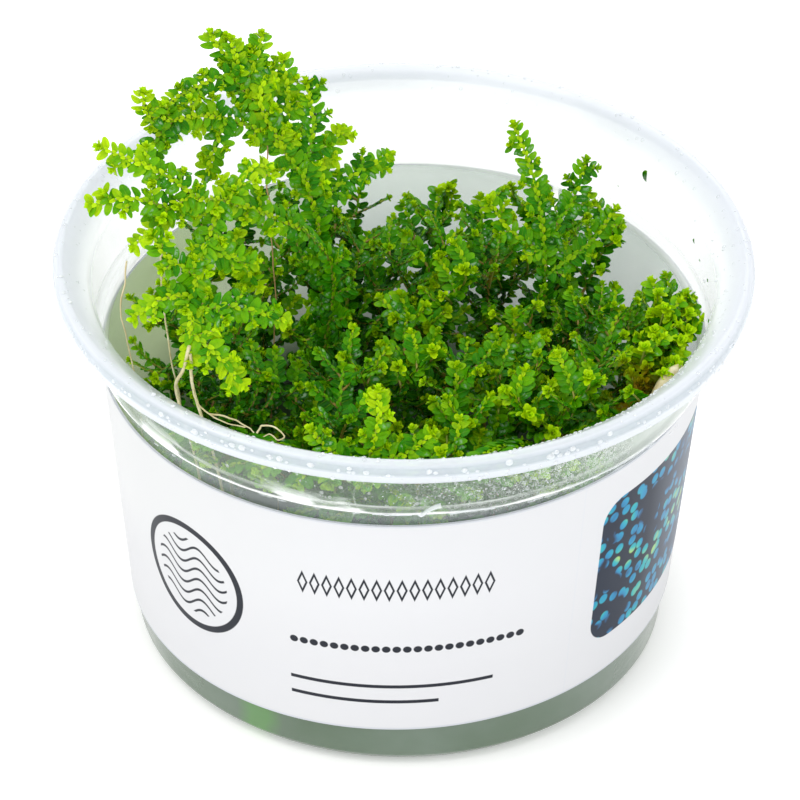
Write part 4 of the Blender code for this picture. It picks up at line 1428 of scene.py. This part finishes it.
def lowTwigs(spray, stem, turn, chance):
    # Twigs that fill the bush under the heads: the lower they sit, the older and darker their leaves, which
    # is partly painted shade.
    low, count = bushLook["low"]
    top = stem[-1].z
    for number in range(count):
        height = low + (top - 3.0 - low) * (number + chance.random()) / count
        place, _ = along(stem, (height - stem[0].z) / (top - stem[0].z))
        angle = turn + number * 2.4 + chance.uniform(-0.4, 0.4)
        rise = math.radians(chance.uniform(*bushLook["lowRise"]))
        level = math.cos(rise)
        lead = Vector((math.cos(angle) * level, math.sin(angle) * level, math.sin(rise)))
        twig = bentTwig(place, lead, upward, chance.uniform(*bushLook["lowLength"]), 0.1)
        # partly painted shade: lower twigs get older, darker leaves
        age = 0.1 + 0.25 * (height - low) / (top - low)
        leafyTwig(spray, twig, 2.1, (age, age + 0.3), chance, spacing=1.7, tip=5)


def wallTwigs(spray, stem, chance):
    # Twigs that reach from an outer shoot at the front to the wall.
    count = bushLook["wallTwigs"]
    for number in range(count):
        height = chance.uniform(*bushLook["wallHeights"])
        share = (height - stem[0].z) / (stem[-1].z - stem[0].z)
        place, _ = along(stem, min(0.97, share))
        angle = math.atan2(stem[-1].y, stem[-1].x) + (number / (count - 1) - 0.5) * 0.9
        reach = bushLook["wallReach"]
        goal = Vector((math.cos(angle) * reach, math.sin(angle) * reach, height + chance.uniform(0, 4)))
        middle = place.lerp(goal, 0.5) + Vector((0, 0, 1.5))
        route = smoothRoute([place, middle, goal], 3)
        leafyTwig(spray, route, 2.4, (0.30, 0.66), chance, spacing=1.5, bare=0.3)


def crowdTwig(spray, root, goal, chance):
    # A bright twig against the wall on the right, with three twigs of its own.
    root, goal = Vector(root), Vector(goal)
    middle = root.lerp(goal, 0.5) + Vector((1.2, 0.6, -0.6))
    route = smoothRoute([root, middle, goal], 3)
    leafyTwig(spray, route, 2.2, (0.34, 0.86), chance, spacing=1.3, roll=chance.uniform(-0.5, 0.5), tip=11)
    for share in (0.45, 0.62, 0.8):
        place, way = along(route, share)
        face = faceAt(place, way)
        across = way.cross(face) * chance.choice((-1, 1))
        twig = bentTwig(place, (across + way * 0.7).normalized(), face, chance.uniform(3, 4.4), 0.4)
        leafyTwig(spray, twig, 2.0, (0.34, 0.80), chance, spacing=1.25, bare=0.15, tip=9)


def makeBushShoot(shoot, index):
    chance = random.Random(bushLook["seed"] + index)
    spray = Spray()
    stem = shoot["stems"][0]
    crown = stem[-1]
    deep = chance.uniform(*bushLook["deep"])
    if crown.x < -4 and crown.y < -8:
        deep += bushLook["deepFront"]
    elif crown.y > 10:
        deep += bushLook["deepRear"]
    spray.stem(stem, 0.36, 0.26, (0.1, 0.5))
    upper = smoothRoute([p for p in stem if p.z > gelTop + 0.9], 3)
    leafyTwig(spray, upper, 2.2, (0.12, 0.42), chance, spacing=2.1, bare=0.3, roll=chance.uniform(-1.5, 1.5),
              thick=(0.30, 0.24), tip=0)
    lowTwigs(spray, stem, shoot["turn"], chance)
    outer = Vector((crown.x, crown.y, 0)).length > bushLook["edge"]
    if outer and crown.y < min(-12, -6 - crown.x * 0.3):
        wallTwigs(spray, stem, chance)
    for root, goal in bushLook["crowd"].get(shoot["name"], []):
        crowdTwig(spray, root, goal, chance)
    lower = bushLook["rearDrop"] if crown.y > bushLook["rear"] else 0.0
    for route, width in shoot["blades"]:
        start = route[0].z
        route = [Vector((p.x, p.y, p.z - lower * min(1.0, (p.z - start) / 6.0))) for p in route]
        bushBranch(spray, route, width, chance, deep)
    return spray


frondLook = {
    "seed": 7,
    "leaf": {"youngLeaf": 2.2, "leafGreen": 2.1},
    "fresh": {"youngLeaf": 0.50, "leafGreen": 0.36},    # age of its leaves, before a branch's own draw
    "younger": 0.32,          # what a tip's leaves are younger by
    "spacing": 1.5,           # between pairs of side leaves along a branch
    "broad": (0.50, 0.64),    # a side leaf's breadth, as a share of its length
    "sprigGap": {"frond_tall_arch": 2.3, "frond_left_hanging": 2.8, "frond_rear_right": 2.6,
                 "frond_front_tuft": 2.6},
    "sprigLength": (0.65, 1.15),    # as a share of the branch's half-width
    "outlook": Vector((0.05, -0.75, 0.66)),
    "shorter": {("frond_tall_arch", 3): 0.9, ("frond_tall_arch", 4): 0.84, ("frond_tall_arch", 7): 0.8},
    # narrower branches that fill the arch's crown, in millimetres
    "extra": {"frond_tall_arch": [
        ([(-22.4, 5.8, 85.4), (-25.0, 5.0, 90.0), (-29.6, 0.6, 91.0), (-34.4, -5.4, 91.4)], 2.6),
        ([(-20.2, 4.6, 82.6), (-21.0, 6.8, 87.4), (-22.0, 8.2, 91.4)], 2.6),
        ([(-17.4, 3.8, 79.0), (-20.6, 4.6, 85.0), (-20.0, 8.0, 89.4)], 2.4),
        ([(-24.4, 7.6, 90.6), (-26.8, 8.0, 93.4), (-27.8, 8.4, 95.8)], 2.6),
        ([(-23.0, 6.4, 87.4), (-21.2, 8.6, 91.4), (-20.6, 9.8, 94.6)], 2.6),
    ]},
}


def frondSprigs(spray, route, width, size, ages, chance, roll=0.0, gap=2.6, first=0.4):
    # Side twigs of a frond's branch or stem, in turn to the left and right.
    outlook = frondLook["outlook"]
    total = routeLength(route)
    at = first * total
    side = chance.choice((-1, 1))
    while at < total * 0.9:
        share = at / total
        place, way = along(route, share)
        face = faceAt(place, way, roll, outlook)
        across = way.cross(face)
        lead = (across * side * 0.9 + way * 0.6 + face * chance.uniform(-0.25, 0.3)).normalized()
        reach = width * chance.uniform(*frondLook["sprigLength"]) * (1 - 0.3 * share)
        twig = bentTwig(place, lead, face, reach, chance.uniform(0.0, 0.35))
        shade = chance.uniform(-0.14, 0.08)
        shaded = (ages[0] + shade, ages[1] + shade)
        leafyTwig(spray, twig, size * 0.78, shaded, chance, spacing=1.3, bare=0.12,
                  roll=roll + chance.uniform(-0.4, 0.4), thick=(0.15, 0.11), tip=8, outlook=outlook,
                  broad=frondLook["broad"])
        side = -side
        at += gap * chance.uniform(0.8, 1.25)


def makeFrond(frond, index):
    name, finish = frond["name"], frond["finish"]
    chance = random.Random(frondLook["seed"] + index * 13)
    spray = Spray()
    size, fresh = frondLook["leaf"][finish], frondLook["fresh"][finish]
    outlook = frondLook["outlook"]
    for stem in frond["stems"]:
        spray.stem(stem, 0.30, 0.24, (0.2, 0.7))
        upper = smoothRoute([p for p in stem if p.z > gelTop + 0.9], 3)
        leafyTwig(spray, upper, size, (0.2, fresh), chance, spacing=1.5, bare=0.3, roll=chance.uniform(-1, 1),
                  thick=(0.26, 0.24), tip=0, outlook=outlook)
        frondSprigs(spray, upper, 4.0, size, (0.3, fresh), chance)
    extra = [(smoothRoute([Vector(point) for point in points], 4), width)
             for points, width in frondLook["extra"].get(name, [])]
    for number, (route, width) in enumerate(frond["blades"] + extra):
        share = frondLook["shorter"].get((name, number), 1.0)
        route = [along(route, share * step / 12)[0] for step in range(13)]
        roll = chance.uniform(-0.25, 0.25)
        base = fresh + chance.uniform(-0.12, 0.10)
        ages = (base, base + frondLook["younger"])
        leafyTwig(spray, route, size, ages, chance, spacing=frondLook["spacing"], bare=0.02, roll=roll,
                  thick=(0.22, 0.16), outlook=outlook, loose=0.6, broad=frondLook["broad"])
        frondSprigs(spray, route, width, size, ages, chance, roll, frondLook["sprigGap"][name], 0.08)
    return spray


def wavering(route, sway, chance):
    # The route with small sways, as a root grows.
    phase = chance.uniform(0, 50)
    swayed = []
    for index, place in enumerate(route):
        free = min(1.0, index / 3, (len(route) - 1 - index) / 3)
        shift = Vector(noise.noise_vector(Vector((index * 0.35, phase, 0)))) * sway * free
        swayed.append(place + Vector((shift.x, shift.y, 0)))
    return swayed


rootLook = {
    "seed": 5,
    "swaySeed": 4,
    "thickness": {"root_twin_front": 0.58},    # as a share of the solid strand's radius
    "usual": 0.36,
    "thinner": 0.8,           # a strand's foot, as a share of its thickness
    "curlThickness": (0.55, 0.32),
    "sway": {"root_twin_front": 0.15},
    "usualSway": 0.5,
    "curlSway": 0.3,
    "tan": {"root_rear_thin": 0.9, "root_long_left": 0.2},
    # the upper ends of the twin strands, from the frond that they hang from down to the wall
    "upper": [[(-29.6, -30.4, 68.4), (-30.5, -30.5, 64.4), (-31.5, -30.3, 60)],
              [(-29.5, -30.4, 67.0), (-29.3, -30.7, 63.6), (-28.7, -31.2, 59.6)]],
    # strands that lie curled along the inner rim at the front left, in millimetres
    "curls": [
        [(-29.2, -30.9, 62.0), (-28.5, -32.8, 60.5), (-27.0, -35.3, 60.5), (-24.5, -37.7, 60.8),
         (-21.6, -39.0, 60.9)],
        [(-26.6, -35.4, 60.4), (-24.4, -36.9, 61.1), (-22.0, -38.2, 61.0), (-20.4, -39.4, 60.3)],
        [(-20.0, -39.6, 60.4), (-19.3, -39.0, 61.2), (-17.6, -39.6, 61.5), (-16.3, -40.9, 61.0),
         (-17.0, -41.1, 60.4), (-18.2, -40.4, 60.9), (-19.2, -40.3, 60.2)],
    ],
}


def makeRoots():
    chance = random.Random(rootLook["seed"])
    noise.seed_set(rootLook["swaySeed"])    # or the sways differ from run to run
    for name, radius, strands in aerialRoots:
        spray = Spray()
        thick = radius * rootLook["thickness"].get(name, rootLook["usual"])
        sway = rootLook["sway"].get(name, rootLook["usualSway"])
        tan = rootLook["tan"].get(name, 0.0)
        for number, strand in enumerate(strands):
            if name == "root_twin_front":
                strand = rootLook["upper"][number] + strand[2:]
            route = wavering(smoothRoute(strand, 7), sway, chance)
            spray.stem(route, thick, thick * rootLook["thinner"], (tan, tan))
        if name == "root_twin_front":
            start, end = rootLook["curlThickness"]
            for curl in rootLook["curls"]:
                route = smoothRoute([Vector(point) for point in curl], 5)
                route = wavering(route, rootLook["curlSway"], chance)
                spray.stem(route, thick * start, thick * end, (tan, tan))
        plantPiece(name + "_strands", spray, [rootFinish, rootFinish], "root", name)


# Bits of leaf that cling to the inside of the collar, and a stub of root.
bitLook = {
    "seed": 9,
    # angle in degrees, height, length and age
    "leaves": ((37.1, 59.8, 2.3, 0.22), (17.0, 57.4, 0.9, 0.3), (12.8, 56.0, 0.5, 0.3), (5.2, 56.6, 0.8, 0.3),
               (44.0, 54.6, 0.4, 0.3), (352.0, 56.8, 0.9, 0.3)),
    "breadth": 0.46,          # as a share of the length
    "off": 0.12,              # from the plastic
    # a pale stub of root against the wall on the right, in millimetres
    "stub": [(36.0, -22.6, 55.0), (36.8, -21.6, 56.4), (38.0, -20.0, 57.2), (39.2, -18.4, 57.0)],
    "stubThickness": (0.95, 0.75),
}


def makeBits():
    chance = random.Random(bitLook["seed"])
    spray = Spray()
    for angle, z, length, age in bitLook["leaves"]:
        out = outFrom(math.radians(angle))
        inner = collarInside(z) + max(0.0, z - 59) * 0.5
        place = out * (inner - bitLook["off"]) + Vector((0, 0, z))
        way = Vector((0, 0, -1)) + Vector((-out.y, out.x, 0)) * chance.uniform(-0.2, 0.5)
        spray.leaf("smooth", place, way, -out, length, length * bitLook["breadth"], age)
    route = smoothRoute([Vector(point) for point in bitLook["stub"]], 3)
    spray.stem(route, *bitLook["stubThickness"], (0.12, 0.0))
    plantPiece("clinging_bits", spray, [leafFinish, rootFinish], "leaf", pressed=False)


# Water that stands on the plastic. Three numbers are the least, the span above it and the power of the draw;
# gauss is a middle and a spread. Turns are in degrees.
beadLook = {
    "seed": 3,
    "depth": (0.15, 0.72),    # a bead's half-height below and above the plastic, as a share of its radius
    "rim": {"count": 150, "size": (0.14, 0.28, 2.2), "radius": (48.6, 50.0), "milky": 0.5},
    "lip": {"count": 300, "size": (0.09, 0.20, 2.0), "radius": (44.9, 2.4, 1.5), "gauss": (312, 26)},
    "funnel": {"count": 150, "size": (0.14, 0.28, 2.5), "radius": (45.9, 48.5), "smaller": 0.8,
               "stretch": 1.2},
    "band": {"count": 330, "gauss": (296, 30), "heights": (51.6, 58.2), "size": (0.09, 0.24, 3.0)},
    "mist": {"count": 1900, "turn": (264, 74, 0.65), "heights": (50.9, 58.6), "size": (0.05, 0.11, 1.8),
             "milky": 0.6},
    "skirt": {"count": 90, "turn": (205, 335), "size": (0.14, 0.22, 1.6), "drop": (1.4, 3.1),
              "stretch": (0.8, 1.1)},
    "stripe": {"count": 70, "turn": (200, 340), "size": (0.26, 0.32, 1.6), "gauss": (1.35, 0.22),
               "stretch": (0.6, 0.9)},
    "streaks": {"count": 50, "gauss": (285, 40), "rise": (-0.2, 1.3), "size": (0.25, 0.8),
                "stretch": (0.10, 0.24)},
    # the rim's upper side, as radius and height
    "top": ((44.7, 59.0), (45.6, 60.6), (47.2, 62.0), (49.2, 63.5), (50.0, 63.25), (50.5, 62.6)),
    # runs of water along the ledge, as angle in degrees and height: thickness at each end, then the places
    "runs": [
        (0.22, 0.40, [(273.2, 49.8), (273.8, 50.5), (274.8, 51.3), (276.2, 51.9), (277.2, 52.1)]),
        (0.14, 0.10, [(272, 49.9), (270, 50.2), (268, 50.4), (265, 50.3)]),
        (0.22, 0.12, [(279, 50.2), (281, 50.7), (284, 50.7), (287, 50.5)]),
        (0.12, 0.10, [(301, 50.6), (308, 50.8), (315, 50.6), (322, 50.7)]),
    ],
}


def rimTop(radius):
    # Height of the rim's upper side at a radius.
    rows = beadLook["top"]
    for (r0, z0), (r1, z1) in zip(rows, rows[1:]):
        if radius <= r1:
            return z0 + (z1 - z0) * (radius - r0) / (r1 - r0)
    return rows[-1][1]


def beadTemplate(segments, rings):
    ball, triangles = ballParts(segments, rings, 1.0)
    below, above = beadLook["depth"]
    points = np.array(ball)
    points[:, 2] = np.where(points[:, 2] < 0, points[:, 2] * below, points[:, 2] * above)
    return points, triangles


def skewed(chance, least, span, power):
    return least + span * chance.random() ** power


def addBead(heap, template, angle, radius, z, outward, size, stretch=1.0, milky=False):
    # A bead on plastic that faces outward, which is given as its parts away from the axis and up.
    shape, faces = template
    out = outFrom(angle)
    up = (out * outward[0] + Vector((0, 0, outward[1]))).normalized()
    side = Vector((-math.sin(angle), math.cos(angle), 0))
    down = up.cross(side)
    place = np.array(out * radius + Vector((0, 0, z)))
    points = place + shape[:, 0:1] * np.array(side) * size + shape[:, 1:2] * np.array(down) * size * stretch \
        + shape[:, 2:3] * np.array(up) * size * 0.8
    heap.add(points, faces, np.zeros(len(shape)), np.zeros((len(shape), 2)), int(milky))


def beadRim(heap, drop, chance):
    look = beadLook["rim"]
    for _ in range(look["count"]):
        size = skewed(chance, *look["size"])
        radius = chance.uniform(*look["radius"])
        angle = chance.uniform(0, math.tau)
        milky = chance.random() < look["milky"]
        addBead(heap, drop, angle, radius, rimTop(radius), (0.1, 1), size, milky=milky)
    look = beadLook["lip"]
    for _ in range(look["count"]):
        size = skewed(chance, *look["size"])
        radius = skewed(chance, *look["radius"])
        angle = math.radians(chance.gauss(*look["gauss"]))
        addBead(heap, drop, angle, radius, rimTop(radius), (-0.6, 0.75), size, milky=True)
    look = beadLook["funnel"]
    for _ in range(look["count"]):
        size = skewed(chance, *look["size"]) * look["smaller"]
        radius = chance.uniform(*look["radius"])
        angle = chance.uniform(0, math.tau)
        addBead(heap, drop, angle, radius, rimTop(radius), (-0.65, 0.75), size, look["stretch"])


def beadCollar(heap, drop, speck, chance):
    look = beadLook["band"]
    for _ in range(look["count"]):
        angle = math.radians(chance.gauss(*look["gauss"]))
        z = chance.uniform(*look["heights"])
        size = skewed(chance, *look["size"])
        addBead(heap, drop, angle, collarInside(z) + 0.05, z, (-1, 0.1), size)
    look = beadLook["mist"]
    for _ in range(look["count"]):
        angle = math.radians(skewed(chance, *look["turn"]))
        z = chance.uniform(*look["heights"])
        size = skewed(chance, *look["size"])
        milky = chance.random() < look["milky"]
        addBead(heap, speck, angle, collarInside(z) + 0.03, z, (-1, 0.1), size, milky=milky)


def beadSkirt(heap, drop, chance):
    radius, height = cupSizes["rim"] - 0.05, cupSizes["height"]
    look = beadLook["skirt"]
    for _ in range(look["count"]):
        angle = math.radians(chance.uniform(*look["turn"]))
        size = skewed(chance, *look["size"])
        z = height - chance.uniform(*look["drop"])
        addBead(heap, drop, angle, radius, z, (1, 0.1), size, chance.uniform(*look["stretch"]), milky=True)
    look = beadLook["stripe"]
    for _ in range(look["count"]):
        angle = math.radians(chance.uniform(*look["turn"]))
        size = skewed(chance, *look["size"])
        z = height - chance.gauss(*look["gauss"])
        addBead(heap, drop, angle, radius, z, (1, 0.1), size, chance.uniform(*look["stretch"]), milky=True)


def beadLedge(heap, drop, chance):
    ledge, step = cupSizes["ledge"], cupSizes["step"]
    look = beadLook["streaks"]
    for _ in range(look["count"]):
        angle = math.radians(chance.gauss(*look["gauss"]))
        z = ledge + chance.uniform(*look["rise"])
        radius = outerWall(ledge) + step * (z - ledge + 0.5)
        size = chance.uniform(*look["size"])
        addBead(heap, drop, angle, radius, z, (0.8, 0.6), size, chance.uniform(*look["stretch"]))
    for start, end, places in beadLook["runs"]:
        route = []
        for angle, z in places:
            angle = math.radians(angle)
            radius = outerWall(ledge) + step * min(1.0, max(0.0, z - ledge + 0.5)) + (z - 51) * 0.045
            route.append(Vector((radius * math.cos(angle), radius * math.sin(angle), z)))
        heap.addTube(smoothRoute(route, 4), start, end, (0, 0), 1)


def makeBeads():
    chance = random.Random(beadLook["seed"])
    drop, speck = beadTemplate(8, 6), beadTemplate(6, 4)
    heap = Heap()
    beadRim(heap, drop, chance)
    beadCollar(heap, drop, speck, chance)
    beadSkirt(heap, drop, chance)
    beadLedge(heap, drop, chance)
    points, triangles, ages, maps, materials = heap.joined()
    piece = meshOf("water_beads", points, triangles, ages, maps)
    piece.data.materials.append(dropPaint("clearBead", 0.16))
    piece.data.materials.append(dropPaint("milkyBead", 0.46))
    piece.data.polygons.foreach_set("material_index", materials.astype(np.int32))
    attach(piece, "root")


studio = {
    "cameraRise": math.radians(36.7),
    "cameraRoll": math.radians(-0.8),
    "distance": 0.8,
    "focal": 5458.9 / 800 * 36,
    "target": (-0.000287, 0.0, 0.03693),
    "sky": 0.96,
    "lights": (
        # place, size, power, colour: a key high on the left, one behind, a fill from the right, one low in
        # front
        ((-0.35, -0.25, 0.75), 0.55, 2.3, (1.0, 0.99, 0.97)),
        ((0.10, 0.45, 0.70), 0.50, 0.9, (0.98, 0.99, 1.0)),
        ((0.60, -0.30, 0.40), 0.45, 0.5, (1.0, 1.0, 1.0)),
        ((-0.15, -0.85, 0.22), 0.50, 1.45, (1.0, 1.0, 1.0)),
    ),
}


def placeCamera(scene):
    rise, roll = studio["cameraRise"], studio["cameraRoll"]
    forward = Vector((0, math.cos(rise), -math.sin(rise)))
    right = Vector((1, 0, 0))
    up = right.cross(forward)
    turnedRight = right * math.cos(roll) - up * math.sin(roll)
    turnedUp = right * math.sin(roll) + up * math.cos(roll)
    camera = bpy.data.objects.new("camera", bpy.data.cameras.new("camera"))
    scene.collection.objects.link(camera)
    matrix = Matrix((turnedRight, turnedUp, -forward)).transposed().to_4x4()
    matrix.translation = Vector(studio["target"]) - forward * studio["distance"]
    camera.matrix_world = matrix
    camera.data.sensor_width = 36
    camera.data.lens = studio["focal"]
    camera.data.clip_end = 20
    scene.camera = camera


def placeLights(scene):
    world = bpy.data.worlds.new("studio")
    world.use_nodes = True
    sky = world.node_tree.nodes["Background"]
    sky.inputs["Color"].default_value = (1.0, 1.0, 1.0, 1.0)
    sky.inputs["Strength"].default_value = studio["sky"]
    scene.world = world
    for index, (place, size, power, colour) in enumerate(studio["lights"]):
        lamp = bpy.data.lights.new(f"softBox{index}", "AREA")
        lamp.size, lamp.energy, lamp.color = size, power, colour
        box = bpy.data.objects.new(f"softBox{index}", lamp)
        box.location = place
        box.rotation_euler = (Vector((0, 0, 0.05)) - Vector(place)).to_track_quat("-Z", "Y").to_euler()
        scene.collection.objects.link(box)


def makeStudio():
    scene = bpy.context.scene
    placeCamera(scene)
    placeLights(scene)
    deselect()
    bpy.ops.mesh.primitive_plane_add(size=6)
    floor = bpy.context.object
    floor.name = "studioFloor"
    floor.data.materials.append(floorPaint())
    scene.view_settings.view_transform = "Standard"
    scene.view_settings.look = "None"


makeStudio()
print("studio ready")
makeCup()
makeLabel()
makeGel()
print("cup, label and gel ready")
templates = {kind: leafTemplate(kind) for kind in leafShapes}
leafFinish, stemFinish, rootFinish = leafPaint(), stemPaint(), rootPaint()
plants = growEverything()
print("skeleton grown:", len(plants), "shoots")
leafCount = 0
for index, plant in enumerate(plants):
    fronded = plant["name"].startswith("frond")
    grown = makeFrond(plant, index) if fronded else makeBushShoot(plant, index)
    slotName = "young_leaf" if plant["finish"] == "youngLeaf" else "leaf"
    plantPiece(plant["name"] + "_leafy", grown, [leafFinish, stemFinish], slotName, plant["name"])
    leafCount += sum(len(rows) for rows in grown.leaves.values())
print("foliage ready:", leafCount, "leaves")
makeRoots()
makeBits()
makeBeads()
print("roots and water ready")
